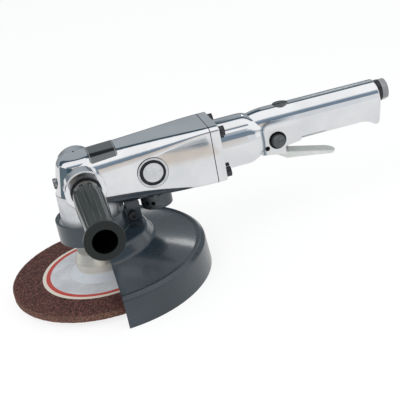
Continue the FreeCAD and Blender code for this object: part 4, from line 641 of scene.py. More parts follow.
@dataclass(frozen=True)
class AbrasiveGrit(Finish):
    """Resin-bonded grit in maroon and brown, with a paper-faced hub and a tan edge where fabric shows."""

    red: Colour = paint(142, 88, 80)
    brown: Colour = paint(108, 72, 66)
    black: Colour = paint(52, 36, 34)
    spark: Colour = paint(150, 112, 98)
    tone_starts: tuple[float, ...] = (0.0, 0.3, 0.62, 0.9, 0.97)
    grain_fineness: float = 780.0
    gap_span: Span = (0.35, 0.6)
    gap_share: float = 0.75
    relief: Span = (0.8, 0.0006)
    roughness: Span = (0.86, 0.42)
    gloss: float = 0.25
    edge: Colour = paint(168, 136, 112)
    edge_share: float = 0.8
    edge_specks: Grain = Grain(1800.0, 3.0, 0.7)
    edge_span: Span = (0.5, 0.62)
    edge_radii: Span = (0.0874, 0.0884)
    net_fineness: float = 62.0
    net_wander: float = 0.6
    net_span: Span = (0.8, 0.95)
    net_share: float = 0.55
    net_top_z: float = 0.0004
    hub: Colour = paint(228, 231, 236)
    hub_shade: Colour = paint(208, 213, 221)
    hub_clouds: Grain = Grain(240.0, 5.0)
    hub_radius: float = 0.0345
    hub_foot_z: float = 0.0062
    hub_relief_share: float = 0.06

    def dress(self, sheet: NodeSheet) -> None:
        """Wires the finish's own nodes.

        Args:
            sheet: the material's nodes.
        """
        grains, away = sheet.cells(self.grain_fineness), sheet.radius(ORIGIN, Axis.Z)
        tones = self.black, self.brown, self.red, self.brown, self.spark
        stops = list(zip(self.tone_starts, tones))
        colour = sheet.ramp(sheet.cells(self.grain_fineness, tinted=True), stops)
        colour = sheet.blend(sheet.spread(grains, *self.gap_span, 0.0, self.gap_share), colour, self.black)
        bare = sheet.spread(sheet.noise(self.edge_specks), *self.edge_span)
        rim = sheet.times(sheet.spread(away, *self.edge_radii, 0.0, self.edge_share), bare)
        colour = sheet.blend(rim, colour, self.edge)
        colour = sheet.blend(self.threads(sheet), colour, self.edge)
        above = sheet.maths("GREATER_THAN", sheet.along(Axis.Z), self.hub_foot_z)
        hub = sheet.times(sheet.maths("LESS_THAN", away, self.hub_radius), above)
        paper = sheet.blend(sheet.noise(self.hub_clouds), self.hub, self.hub_shade)
        shown = sheet.fade(hub, 1.0, self.hub_relief_share)
        height = sheet.times(sheet.maths("SUBTRACT", 1.0, grains), shown)
        sheet.coat({
            "Base Color": sheet.blend(hub, colour, paper),
            "Roughness": sheet.fade(hub, *self.roughness),
            "Normal": sheet.relief(height, *self.relief),
            "Specular IOR Level": self.gloss,
        })

    def threads(self, sheet: NodeSheet) -> Socket:
        """The two sets of glass threads that are pressed into the grinding face.

        Args:
            sheet: the material's nodes.

        Returns:
            Their share, from 0 to 1.
        """
        inputs = {"Vector": sheet.coords(), "Scale": self.net_fineness, "Distortion": self.net_wander}
        sets = [sheet.make("TexWave", inputs, "Fac", bands_direction=way) for way in ("X", "Y")]
        net = sheet.maths("MAXIMUM", *(sheet.spread(bands, *self.net_span) for bands in sets))
        under = sheet.maths("LESS_THAN", sheet.along(Axis.Z), self.net_top_z)
        return sheet.times(net, under, self.net_share)


@dataclass(frozen=True)
class RingedPaper(Finish):
    """The wheel's printed disc: silver-grey with a red and a cream ring, and no words."""

    ground: Colour = paint(206, 208, 211)
    shine: Colour = paint(228, 230, 233)
    blotches: Grain = Grain(70.0)
    blotch_span: Span = (0.35, 0.65)
    red: Colour = paint(206, 74, 62)
    red_start: float = 0.0519
    cream: Colour = paint(240, 230, 214)
    cream_start: float = 0.0561
    ragged: float = 0.0006
    fibres: Grain = Grain(620.0, 5.0, 0.65)
    fibre_tint: Colour = paint(150, 148, 144)
    fibre_span: Span = (0.55, 0.75)
    fibre_share: float = 0.25
    fibre_relief: Span = (0.15, 0.0001)
    roughness: Span = (0.36, 0.6)

    def dress(self, sheet: NodeSheet) -> None:
        """Wires the finish's own nodes.

        Args:
            sheet: the material's nodes.
        """
        fibres, blotches = sheet.noise(self.fibres), sheet.noise(self.blotches)
        colour = sheet.blend(sheet.spread(blotches, *self.blotch_span), self.ground, self.shine)
        wander = sheet.times(sheet.maths("SUBTRACT", fibres, 0.5), self.ragged)
        away = sheet.maths("ADD", sheet.radius(ORIGIN, Axis.Z), wander)
        colour = sheet.blend(sheet.maths("GREATER_THAN", away, self.red_start), colour, self.red)
        colour = sheet.blend(sheet.maths("GREATER_THAN", away, self.cream_start), colour, self.cream)
        shows = sheet.times(sheet.spread(fibres, *self.fibre_span), self.fibre_share)
        sheet.coat({
            "Base Color": sheet.blend(shows, colour, self.fibre_tint),
            "Roughness": sheet.spread(fibres, *MIDDLE, *self.roughness),
            "Normal": sheet.relief(fibres, *self.fibre_relief),
        })


@dataclass(frozen=True)
class EtchedPlate(Finish):
    """A bare etched plate: brushed metal under a charcoal ground, with a black band and two clear lines."""

    ground: Colour = paint(100, 103, 105)
    brushed: Colour = paint(118, 121, 123)
    brushed_share: float = 0.5
    strokes: Grain = Grain(1.0, stretch=(50.0, 1800.0, 1800.0))
    band: Colour = paint(20, 21, 23)
    band_run: Span = (-0.0155, -0.0085)
    border: Colour = paint(168, 171, 174)
    border_places: Span = (0.0116, 0.0354)
    border_width: float = 0.0005
    grain: Grain = Grain(1500.0)
    grain_relief: Span = (0.1, 0.00005)
    roughness: Span = (0.3, 0.45)
    metallic: float = 0.35

    def dress(self, sheet: NodeSheet) -> None:
        """Wires the finish's own nodes.

        Args:
            sheet: the material's nodes.
        """
        strokes, x, half = sheet.noise(self.strokes), sheet.along(Axis.X), self.border_width / 2
        lines = [sheet.between(x, at - half, at + half) for at in self.border_places]
        brushed = sheet.spread(strokes, *MIDDLE, 0.0, self.brushed_share)
        colour = sheet.blend(brushed, self.ground, self.brushed)
        colour = sheet.blend(sheet.between(sheet.along(Axis.Y), *self.band_run), colour, self.band)
        sheet.coat({
            "Base Color": sheet.blend(sheet.maths("MAXIMUM", *lines), colour, self.border),
            "Roughness": sheet.spread(strokes, *MIDDLE, *self.roughness),
            "Normal": sheet.relief(sheet.noise(self.grain), *self.grain_relief),
            "Metallic": self.metallic,
        })


@dataclass(frozen=True)
class BadgeFace(Finish):
    """The bare face of the round badge: silver-white lacquer with a faint spun sheen."""

    ground: Colour = paint(226, 227, 229)
    shade: Colour = paint(206, 208, 211)
    spun: Grain = Grain(1.0, stretch=(160.0, 30.0, 160.0))
    roughness: Span = (0.24, 0.32)
    metallic: float = 0.3

    def dress(self, sheet: NodeSheet) -> None:
        """Wires the finish's own nodes.

        Args:
            sheet: the material's nodes.
        """
        spun = sheet.noise(self.spun)
        sheet.coat({
            "Base Color": sheet.blend(sheet.spread(spun, *MIDDLE), self.ground, self.shade),
            "Roughness": sheet.spread(spun, *MIDDLE, *self.roughness),
            "Metallic": self.metallic,
        })


@dataclass(frozen=True)
class PressedFibre(Finish):
    """Gasket sheet, felt or laminated resin: matted fibres over a mottled ground."""

    ground: Colour
    fleck: Colour
    fineness: float = 900.0
    roughness: float = 0.85
    layers: float = 5.0
    rough: float = 0.7
    fibre_stretch: Place = (1.0, 0.35, 1.0)
    mottles: Grain = Grain(120.0, 4.0)
    tone_span: Span = (0.38, 0.62)
    smoother: float = 0.1
    rougher: float = 0.05
    relief: Span = (0.4, 0.0002)

    def dress(self, sheet: NodeSheet) -> None:
        """Wires the finish's own nodes.

        Args:
            sheet: the material's nodes.
        """
        mat = sheet.noise(Grain(self.fineness, self.layers, self.rough, self.fibre_stretch))
        tone = sheet.times(sheet.maths("ADD", mat, sheet.noise(self.mottles)), 0.5)
        limits = self.roughness - self.smoother, self.roughness + self.rougher
        sheet.coat({
            "Base Color": sheet.blend(sheet.spread(tone, *self.tone_span), self.ground, self.fleck),
            "Roughness": sheet.spread(mat, *MIDDLE, *limits),
            "Normal": sheet.relief(mat, *self.relief),
        })


STEEL = paint(176, 177, 180), paint(128, 130, 134)

HOUSING_POLISH = PolishedCasting("housing_polish")
HANDLE_POLISH = HandleCasting("handle_polish")
INLET_POLISH = PolishedCasting("inlet_polish", paint(158, 160, 163), paint(134, 137, 141), (0.1, 0.2))
CAST_ALUMINIUM = CastSkin("cast_aluminium")
SPINDLE_STEEL = TurnedMetal("spindle_steel", *STEEL, ORIGIN, Axis.Z)
ROTOR_STEEL = TurnedMetal("rotor_steel", *STEEL, (0.0, 0.0, MOTOR_AXIS_Z), Axis.X)
STUD_STEEL = TurnedMetal("stud_steel", *STEEL, (0.0, 0.0, GRIP_AXIS_Z), Axis.Y)
INLET_STEEL = TurnedMetal(
    "inlet_steel", paint(206, 207, 210), paint(184, 186, 190), (0.0, 0.0, INLET_AXIS_Z), Axis.X,
    roughness=0.2, pitch=0.0016,
)
FLANGE_STEEL = TurnedMetal(
    "flange_steel", paint(243, 241, 234), paint(226, 222, 212), ORIGIN, Axis.Z,
    roughness=0.36, pitch=0.0009, metallic=0.72,
)
LEVER_STEEL = TurnedMetal(
    "lever_steel", paint(234, 236, 232), paint(214, 218, 212), (0.2, 0.0, 0.07), Axis.Y,
    roughness=0.34, pitch=0.0012, metallic=0.35,
)
BRONZE = TurnedMetal("bronze", paint(186, 148, 96), paint(146, 108, 66), ORIGIN, Axis.Z, roughness=0.35)
BLACK_OXIDE = DarkenedSteel("black_oxide", paint(58, 60, 64), paint(84, 87, 91))
CAP_OXIDE = DarkenedSteel("cap_oxide", paint(96, 99, 102), paint(128, 131, 134), 0.3)
KNOB_OXIDE = DarkenedSteel("knob_oxide", paint(96, 99, 102), paint(122, 125, 128), 0.4, 900.0)
DEFLECTOR_BLACK = DarkenedSteel("deflector_black", paint(84, 89, 93), paint(98, 102, 106), 0.26, 1200.0)
# Black oxide and painted shade: the lever pin sits in a recess, and its oxide is made near-black to stand for
# the shade in that hole.
PIN_OXIDE_AND_SHADE = DarkenedSteel("pin_oxide_and_shade", paint(16, 18, 20), paint(44, 47, 50), 0.3)
BADGE_INK = DarkenedSteel("badge_ink", paint(40, 42, 44), paint(58, 60, 62), 0.3)
GUARD_PAINT = GuardEnamel("guard_paint")
GRIP_PLASTIC = MouldedGrip("grip_plastic")
GRIT = AbrasiveGrit("grit")
LABEL_PAPER = RingedPaper("label_paper")
NAME_PLATE = EtchedPlate("name_plate_face")
BADGE_FACE = BadgeFace("badge_face")
GASKET = PressedFibre("gasket_sheet", paint(30, 30, 31), paint(52, 52, 53))
FELT = PressedFibre("felt", paint(98, 92, 82), paint(132, 124, 110), 500.0, 0.95)
VANE_RESIN = PressedFibre("vane_resin", paint(104, 66, 40), paint(146, 100, 64), 1300.0, 0.55)

DRESSED: dict[Finish, tuple[str, ...]] = {
    HOUSING_POLISH: ("gear_case",),
    HANDLE_POLISH: ("throttle_handle",),
    INLET_POLISH: ("inlet_bushing",),
    CAST_ALUMINIUM: ("bearing_cap", "front_end_plate", "rear_end_plate"),
    SPINDLE_STEEL: (
        "spindle", "bevel_gear", "gear_spacer", "lower_bearing_inner_ring", "lower_bearing_outer_ring",
        "lower_bearing_balls", "bearing_snap_ring", "throttle_valve", "valve_spring", "grease_plug",
    ),
    ROTOR_STEEL: (
        "rotor", "bevel_pinion", "cylinder_liner", "front_bearing_inner_ring", "rear_bearing_inner_ring",
        "front_bearing_outer_ring", "rear_bearing_outer_ring",
    ),
    STUD_STEEL: ("side_handle_stud",),
    INLET_STEEL: ("inlet_strainer",),
    FLANGE_STEEL: ("backing_flange", "wheel_nut"),
    LEVER_STEEL: ("throttle_lever",),
    BRONZE: ("upper_spindle_bush",),
    BLACK_OXIDE: (
        "flange_screws", "clamp_screw", "clamp_nut", "deflector_screw", "inlet_collar", "side_handle_collar",
    ),
    CAP_OXIDE: ("valve_cap",),
    KNOB_OXIDE: ("regulator_knob",),
    DEFLECTOR_BLACK: ("exhaust_deflector",),
    PIN_OXIDE_AND_SHADE: ("lever_pin",),
    GUARD_PAINT: ("wheel_guard",),
    GRIP_PLASTIC: ("side_handle_grip",),
    GRIT: ("grinding_wheel",),
    LABEL_PAPER: ("wheel_label",),
    NAME_PLATE: ("name_plate",),
    BADGE_FACE: ("round_badge",),
    GASKET: ("flange_gasket", "cap_gasket"),
    FELT: ("spindle_seal",),
    VANE_RESIN: ("rotor_vanes",),
}


class Bench:
    """The modelling bench: each call works on one piece as a modeller would by hand."""

    weld = 0.000001
    doubles = 0.000005

    @staticmethod
    def hold(piece: Piece) -> None:
        """Makes a piece the only one that is selected, and the active one.

        Args:
            piece: the piece.
        """
        bpy.ops.object.select_all(action="DESELECT")
        piece.select_set(True)
        bpy.context.view_layer.objects.active = piece

    @staticmethod
    def take(name: str) -> Piece:
        """Names the piece that was just added.

        Args:
            name: its name.

        Returns:
            The piece.
        """
        piece = bpy.context.view_layer.objects.active
        piece.name = piece.data.name = name
        return piece

    @staticmethod
    @contextmanager
    def editing(piece: Piece, everything: bool = False) -> Iterator[bmesh.types.BMesh]:
        """Opens a piece in edit mode.

        Args:
            piece: the piece.
            everything: whether all of it is selected, or nothing.

        Yields:
            Its mesh, in which faces and edges are picked.
        """
        Bench.hold(piece)
        bpy.ops.object.mode_set(mode="EDIT")
        bpy.ops.mesh.select_mode(type="FACE")
        bpy.ops.mesh.select_all(action="SELECT" if everything else "DESELECT")
        yield bmesh.from_edit_mesh(piece.data)
        bpy.ops.object.mode_set(mode="OBJECT")

    @staticmethod
    def pick_faces(mesh: bmesh.types.BMesh, test: Callable[[bmesh.types.BMFace], bool]) -> None:
        """Selects the faces that pass a test, and nothing else.

        Args:
            mesh: the open mesh.
            test: what a face has to pass.
        """
        for face in mesh.faces:
            face.select_set(bool(test(face)))
        mesh.select_flush_mode()

    @staticmethod
    def pick_edges(mesh: bmesh.types.BMesh, test: Callable[[bmesh.types.BMEdge], bool]) -> None:
        """Selects the edges that pass a test, and nothing else.

        Args:
            mesh: the open mesh.
            test: what an edge has to pass.
        """
        bpy.ops.mesh.select_mode(type="EDGE")
        for edge in mesh.edges:
            edge.select_set(bool(test(edge)))
        mesh.select_flush_mode()

    @staticmethod
    def modify(piece: Piece, kind: str, **settings: object) -> None:
        """Adds a modifier and applies it.

        Args:
            piece: the piece.
            kind: the modifier's type.
            settings: its settings.
        """
        Bench.hold(piece)
        modifier = piece.modifiers.new(kind.lower(), kind)
        for name, value in settings.items():
            setattr(modifier, name, value)
        bpy.ops.object.modifier_apply(modifier=modifier.name)

    @staticmethod
    def settle(piece: Piece) -> None:
        """Puts a piece's place into its mesh, so that its object is at the origin.

        Args:
            piece: the piece.
        """
        bpy.context.view_layer.update()
        piece.data.transform(piece.matrix_world)
        piece.matrix_world = Matrix.Identity(4)

    @staticmethod
    def tidy(piece: Piece) -> None:
        """Merges doubles and turns every face outwards.

        Args:
            piece: the piece.
        """
        with Bench.editing(piece, everything=True):
            bpy.ops.mesh.remove_doubles(threshold=Bench.doubles)
            bpy.ops.mesh.normals_make_consistent(inside=False)

    @staticmethod
    def block(name: str, size: Place, place: Place = ORIGIN) -> Piece:
        """Adds a block to be worked on.

        Args:
            name: its name.
            size: its size along each axis.
            place: where its middle goes.

        Returns:
            The block.
        """
        bpy.ops.mesh.primitive_cube_add(size=1.0, location=place)
        block = Bench.take(name)
        block.data.transform(Matrix.Diagonal((*size, 1.0)))
        return block

    @staticmethod
    def wind(name: str, outline: Sequence[Span], steps: int, turns: int = 1, rise: float = 0.0) -> Piece:
        """Sweeps an outline round +Z, closed as on a lathe, or with a rise as a coil.

        Args:
            name: the piece's name.
            outline: its points in order, as (radius, height).
            steps: the sides of one turn.
            turns: how many turns there are.
            rise: how far one turn climbs.

        Returns:
            The piece.
        """
        bpy.ops.mesh.primitive_circle_add(vertices=len(outline), fill_type="NOTHING")
        piece = Bench.take(name)
        for vertex, (out, up) in zip(piece.data.vertices, outline):
            vertex.co = (out, 0.0, up)
        Bench.modify(
            piece, "SCREW", axis="Z", angle=math.tau, screw_offset=rise, iterations=turns, steps=steps,
            render_steps=steps, use_merge_vertices=True, merge_threshold=Bench.weld,
        )
        if rise:
            with Bench.editing(piece, everything=True):
                bpy.ops.mesh.fill_holes(sides=len(outline))
        Bench.tidy(piece)
        return piece

    @staticmethod
    def ring_of(piece: Piece, count: int, centre: Vector, axis: Axis) -> None:
        """Copies a piece evenly round an axis and joins the copies to it.

        Args:
            piece: the piece, settled.
            count: how many there are in all.
            centre: a point on the axis.
            axis: its direction.
        """
        Bench.hold(piece)
        for n in range(1, count):
            copy = piece.copy()
            copy.data = piece.data.copy()
            bpy.context.scene.collection.objects.link(copy)
            turn = Matrix.Rotation(math.tau * n / count, 4, axis.vector)
            copy.data.transform(Matrix.Translation(centre) @ turn @ Matrix.Translation(-centre))
            copy.select_set(True)
        bpy.ops.object.join()


@dataclass
class Assembly:
    """A group of new pieces on one body."""

    body: Body
    pieces: list[Piece] = field(default_factory=list)

    def finish(self, piece: Piece, finish: Finish, slot: str, degrees: float = 35.0) -> None:
        """Shades and dresses a piece and lets it ride on the group's body.

        Args:
            piece: the piece.
            finish: what it is dressed in.
            slot: a name for the finish's slot; not used.
            degrees: the angle over which an edge stays sharp.
        """
        Bench.hold(piece)
        bpy.ops.object.shade_smooth_by_angle(angle=math.radians(degrees))
        Bench.settle(piece)
        piece.data.materials.clear()
        piece.data.materials.append(finish.material())
        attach(piece, self.body.value)
        self.pieces.append(piece)
        LOG.info("%s rides on %s, %d faces", piece.name, self.body.value, len(piece.data.polygons))

    def build(self) -> None:
        """Builds and dresses every piece of the group."""
        raise NotImplementedError


@dataclass(frozen=True)
class Threads:
    """A cut thread, as a three-sided helical ridge that points inwards."""

    radius: float
    length: float
    pitch: float
    depth: float
    root: float = 0.00015
    flank_share: float = 0.42
    steps: int = 40

    def build(self, name: str, start: Place, axis: Axis) -> Piece:
        """Winds the ridge up its axis.

        Args:
            name: the piece's name.
            start: where the thread begins, on its axis.
            axis: the direction that it runs in.

        Returns:
            The ridge.
        """
        half, foot = self.pitch * self.flank_share, self.radius + self.root
        outline = ((self.radius - self.depth, half), (foot, 2 * half), (foot, 0.0))
        turns = max(1, int((self.length - 2 * half) / self.pitch))
        ridge = Bench.wind(name, outline, self.steps, turns, self.pitch)
        turn = Axis.Z.vector.rotation_difference(axis.vector)
        ridge.data.transform(Matrix.Translation(start) @ turn.to_matrix().to_4x4())
        return ridge


@dataclass(frozen=True)
class BadgeRing:
    """A ring on the badge: its name, middle line, half width, how far it stands out, and its finish."""

    name: str
    radius: float
    half_width: float
    rise: float
    finish: Finish


@dataclass
class HeadDetails(Assembly):
    """Small pieces on the housing: the badge's rings, a pin, washers and the spare socket's thread."""

    body: Body = Body.HOUSING
    badge_centre: Place = (0.0635, -0.028, 0.099)
    badge_lean: float = -0.0069
    rings: tuple[BadgeRing, ...] = (
        BadgeRing("badge_ring", 0.010875, 0.001575, 0.00018, BADGE_INK),
        BadgeRing("badge_bezel", 0.01385, 0.0006, 0.0004, BADGE_FACE),
        BadgeRing("badge_outline", 0.0144, 0.00022, 0.0004, BADGE_INK),
    )
    ring_flatness: float = 1.6
    pin_radius: float = 0.00095
    pin_height: float = 0.0012
    pin_place: Place = (-0.0006, 0.0096, 0.1244)
    pin_border: float = 0.0004
    pin_mark: float = 0.00025
    pin_rounding: float = 0.00015
    washer_x: float = 0.1315
    screw_offset: float = 0.0205
    washer_outer: float = 0.00505
    washer_inner: float = 0.0026
    washer_thickness: float = 0.0011
    washer_rounding: float = 0.00012
    washer_degrees: float = 349.0
    screws: int = 4
    thread: Threads = Threads(radius=0.0069, length=0.0125, pitch=0.00175, depth=0.0007)
    thread_start: Place = (0.0, 0.0245, GRIP_AXIS_Z)

    def build(self) -> None:
        """Builds and dresses every piece of the group."""
        for ring in self.rings:
            self.badge_ring(ring)
        self.head_pin()
        self.washers()
        socket = self.thread.build("spare_socket_thread", self.thread_start, Axis.Y)
        self.finish(socket, SPINDLE_STEEL, "machined_steel", THIN_WORK)

    def badge_ring(self, ring: BadgeRing) -> None:
        """A raised ring on the badge, from a torus with its top levelled.

        Args:
            ring: its sizes.
        """
        bpy.ops.mesh.primitive_torus_add(
            major_radius=ring.radius, minor_radius=ring.half_width, major_segments=96, minor_segments=16,
            location=self.badge_centre, rotation=(QUARTER_TURN, 0.0, self.badge_lean),
        )
        piece = Bench.take(ring.name)
        for vertex in piece.data.vertices:
            level = vertex.co.z / ring.half_width
            vertex.co.z = math.copysign(min(1.0, abs(level) * self.ring_flatness), level) * ring.rise
        self.finish(piece, ring.finish, "plate_metal", 40.0)

    def head_pin(self) -> None:
        """The small locking pin in the top of the head, with a rounded end and a centre mark."""
        bpy.ops.mesh.primitive_cylinder_add(
            vertices=24, radius=self.pin_radius, depth=self.pin_height, location=self.pin_place,
        )
        pin, above = Bench.take("head_pin"), self.pin_height / 3
        with Bench.editing(pin) as mesh:
            Bench.pick_faces(mesh, lambda face: face.normal.z > FACES_UP)
            bpy.ops.mesh.inset(thickness=self.pin_border)
            bpy.ops.transform.translate(value=(0.0, 0.0, -self.pin_mark))
            Bench.pick_edges(mesh, lambda edge: all(v.co.z > above for v in edge.verts))
            bpy.ops.mesh.bevel(offset=self.pin_rounding, segments=2, affect="EDGES")
        self.finish(pin, BLACK_OXIDE, "dark_steel")

    def washers(self) -> None:
        """Split spring washers under the heads of the flange screws."""
        width, middle = self.washer_outer - self.washer_inner, (self.washer_outer + self.washer_inner) / 2
        bpy.ops.mesh.primitive_plane_add(size=1.0)
        washer = Bench.take("flange_washers")
        for vertex in washer.data.vertices:
            vertex.co = (vertex.co.x * self.washer_thickness, 0.0, vertex.co.y * width + middle)
        with Bench.editing(washer, everything=True):
            bpy.ops.mesh.spin(
                steps=44, angle=math.radians(self.washer_degrees), center=ORIGIN, axis=Axis.X.value,
            )
        Bench.tidy(washer)
        Bench.modify(washer, "BEVEL", width=self.washer_rounding, segments=2, limit_method="ANGLE")
        side, x = self.screw_offset, self.washer_x
        washer.data.transform(Matrix.Translation((x + self.washer_thickness / 2, side, MOTOR_AXIS_Z + side)))
        Bench.ring_of(washer, self.screws, Vector((x, 0.0, MOTOR_AXIS_Z)), Axis.X)
        self.finish(washer, BLACK_OXIDE, "dark_steel")


@dataclass
class HandleDetails(Assembly):
    """Small pieces on the handle: the inlet's thread and the strainer's wire screen."""

    body: Body = Body.HOUSING
    thread: Threads = Threads(radius=0.0076, length=0.0105, pitch=0.00141, depth=0.0006)
    thread_start: Place = (0.2966, 0.0, INLET_AXIS_Z)
    screen_centre: Place = (0.2829, 0.0, INLET_AXIS_Z)
    screen_radius: float = 0.0045
    wire: float = 0.00032
    mesh_pitch: float = 0.0009

    def build(self) -> None:
        """Builds and dresses every piece of the group."""
        ridge = self.thread.build("inlet_thread", self.thread_start, Axis.X)
        self.finish(ridge, INLET_STEEL, "machined_steel", THIN_WORK)
        self.screen()

    def screen(self) -> None:
        """The woven screen at the bottom of the strainer, as a wire lattice cut to a disc."""
        bpy.ops.mesh.primitive_circle_add(
            vertices=36, radius=self.screen_radius, fill_type="NGON",
            location=self.screen_centre, rotation=(0.0, QUARTER_TURN, 0.0),
        )
        screen = Bench.take("strainer_screen")
        count = int(self.screen_radius / self.mesh_pitch)
        with Bench.editing(screen):
            for n in range(-count, count + 1):
                for normal in (Axis.Y.vector, Axis.Z.vector):
                    place = Vector(self.screen_centre) + normal * (n * self.mesh_pitch)
                    bpy.ops.mesh.select_all(action="SELECT")
                    bpy.ops.mesh.bisect(plane_co=place, plane_no=normal)
        Bench.modify(screen, "WIREFRAME", thickness=self.wire, use_even_offset=False, use_boundary=True)
        self.finish(screen, INLET_STEEL, "machined_steel", THIN_WORK)


@dataclass
class GuardDetails(Assembly):
    """What holds the guard together: the weld under its clamp collar and the plates on its two lugs."""

    body: Body = Body.GUARD
    lug_length: Span = (0.0338, 0.0474)
    lug_height: Span = (0.0462, 0.0674)
    lug_face: float = 0.0055
    lug_gap: float = 0.00005
    plate: float = 0.0026
    plate_corner: float = 0.0025
    plate_rounding: float = 0.0004
    weld_radius: float = 0.0335
    weld_z: float = 0.0472
    weld_size: float = 0.0013
    weld_end_x: float = 0.0052
    ripples: int = 74
    ripple_share: float = 0.14
    waves: int = 9
    wave_share: float = 0.06

    def build(self) -> None:
        """Builds and dresses every piece of the group."""
        self.weld()
        self.lug_plates()

    def lug_plates(self) -> None:
        """A plate outside each lug, rounded at its two upper corners."""
        def upper_corner(edge: bmesh.types.BMEdge) -> bool:
            """Whether an edge is one of the two upper corners, through the plate."""
            first, second = (vertex.co for vertex in edge.verts)
            return first.z > 0 and second.z > 0 and first.y * second.y < 0

        (front, rear), (foot, top) = self.lug_length, self.lug_height
        middle = ((rear + front) / 2, self.plate / 2 - self.lug_face - self.lug_gap, (top + foot) / 2)
        plate = Bench.block("clamp_lug_plates", (rear - front, self.plate, top - foot), middle)
        with Bench.editing(plate) as mesh:
            Bench.pick_edges(mesh, upper_corner)
            bpy.ops.mesh.bevel(offset=self.plate_corner, segments=5, affect="EDGES")
        Bench.modify(
            plate, "BEVEL", width=self.plate_rounding, segments=3, limit_method="ANGLE",
            angle_limit=math.radians(50),
        )
        Bench.settle(plate)
        Bench.modify(plate, "MIRROR", use_axis=(False, True, False), use_mirror_merge=False)
        Bench.tidy(plate)
        self.finish(plate, GUARD_PAINT, "guard_paint")

    def weld(self) -> None:
        """The rippled weld bead where the collar meets the hood."""
        bpy.ops.mesh.primitive_torus_add(
            major_radius=self.weld_radius, minor_radius=self.weld_size, major_segments=296,
            minor_segments=10, location=(0.0, 0.0, self.weld_z),
        )
        weld = Bench.take("guard_weld")
        for vertex in weld.data.vertices:
            angle = math.atan2(vertex.co.y, vertex.co.x)
            ripple = self.ripple_share * abs(math.sin(angle * self.ripples / 2))
            out = Vector((vertex.co.x, vertex.co.y, 0.0)).normalized() * self.weld_radius
            swell = 1.0 + ripple + self.wave_share * math.sin(angle * self.waves)
            vertex.co = out + (vertex.co - out) * swell
        Bench.settle(weld)
        with Bench.editing(weld, everything=True):
            bpy.ops.mesh.bisect(
                plane_co=(self.weld_end_x, 0.0, 0.0), plane_no=Axis.X.value, use_fill=True, clear_inner=True,
            )
        Bench.tidy(weld)
        self.finish(weld, GUARD_PAINT, "guard_paint", 60.0)


@dataclass
class RegulatorDetails(Assembly):
    """The knurled band round the power regulator and the raised pointer on its face."""

    body: Body = Body.REGULATOR
    radius: float = 0.0064
    band: Span = (-0.0206, -0.0166)
    ridges: int = 30
    ridge_size: Place = (0.0007, 0.004, 0.0006)
    ridge_crest_share: float = 0.35
    ridge_rounding: float = 0.00008
    pointer_size: Place = (0.0044, 0.0006, 0.0013)
    pointer_tip_share: float = 0.55
    pointer_start: float = 0.0024
    pointer_y: float = -0.0216
    pointer_rounding: float = 0.00018

    def build(self) -> None:
        """Builds and dresses every piece of the group."""
        self.knurl()
        self.pointer()

    def knurl(self) -> None:
        """Tapered ridges round the knob."""
        ridge = Bench.block("regulator_knurl", self.ridge_size)
        for vertex in ridge.data.vertices:
            vertex.co.x *= self.ridge_crest_share if vertex.co.z > 0 else 1.0
        Bench.modify(ridge, "BEVEL", width=self.ridge_rounding, segments=1, limit_method="ANGLE")
        centre = Vector((REGULATOR_AXIS[0], sum(self.band) / 2, REGULATOR_AXIS[2]))
        rise = Vector((0.0, 0.0, self.radius + self.ridge_rounding))
        ridge.data.transform(Matrix.Translation(centre + rise))
        Bench.ring_of(ridge, self.ridges, centre, Axis.Y)
        self.finish(ridge, KNOB_OXIDE, "dark_steel")

    def pointer(self) -> None:
        """A low raised bar across half of the knob's face."""
        place = (REGULATOR_AXIS[0] + self.pointer_start, self.pointer_y, REGULATOR_AXIS[2])
        bar = Bench.block("regulator_pointer", self.pointer_size, place)
        for vertex in bar.data.vertices:
            vertex.co.z *= self.pointer_tip_share if vertex.co.x > 0 else 1.0
        Bench.modify(bar, "BEVEL", width=self.pointer_rounding, segments=2, limit_method="ANGLE")
        self.finish(bar, KNOB_OXIDE, "dark_steel")


@dataclass
class ValveDetails(Assembly):
    """The valve's closing coil, at its rest length; nothing here shortens it as the lever lifts the valve."""

    body: Body = Body.HOUSING
    coil_radius: float = 0.0042
    wire: float = 0.00045
    wire_sides: int = 10
    steps: int = 32
    turns: int = 3
    lift: float = 0.0051941

    def build(self) -> None:
        """Builds and dresses every piece of the group."""
        low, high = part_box("valve_spring")
        middle, height = (low + high) / 2, high.z - low.z
        angles = [math.tau * n / self.wire_sides for n in range(self.wire_sides)]
        wire = [(self.coil_radius - self.wire * math.sin(a), self.wire * math.cos(a)) for a in angles]
        rise = (height - 2 * self.wire) / self.turns
        coil = Bench.wind("valve_coil", wire, self.steps, self.turns, rise)
        coil.data.transform(Matrix.Translation((middle.x, middle.y, low.z + self.wire)))
        self.finish(coil, SPINDLE_STEEL, "machined_steel", THIN_WORK)
        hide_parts("valve_spring")
        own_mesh(coil)


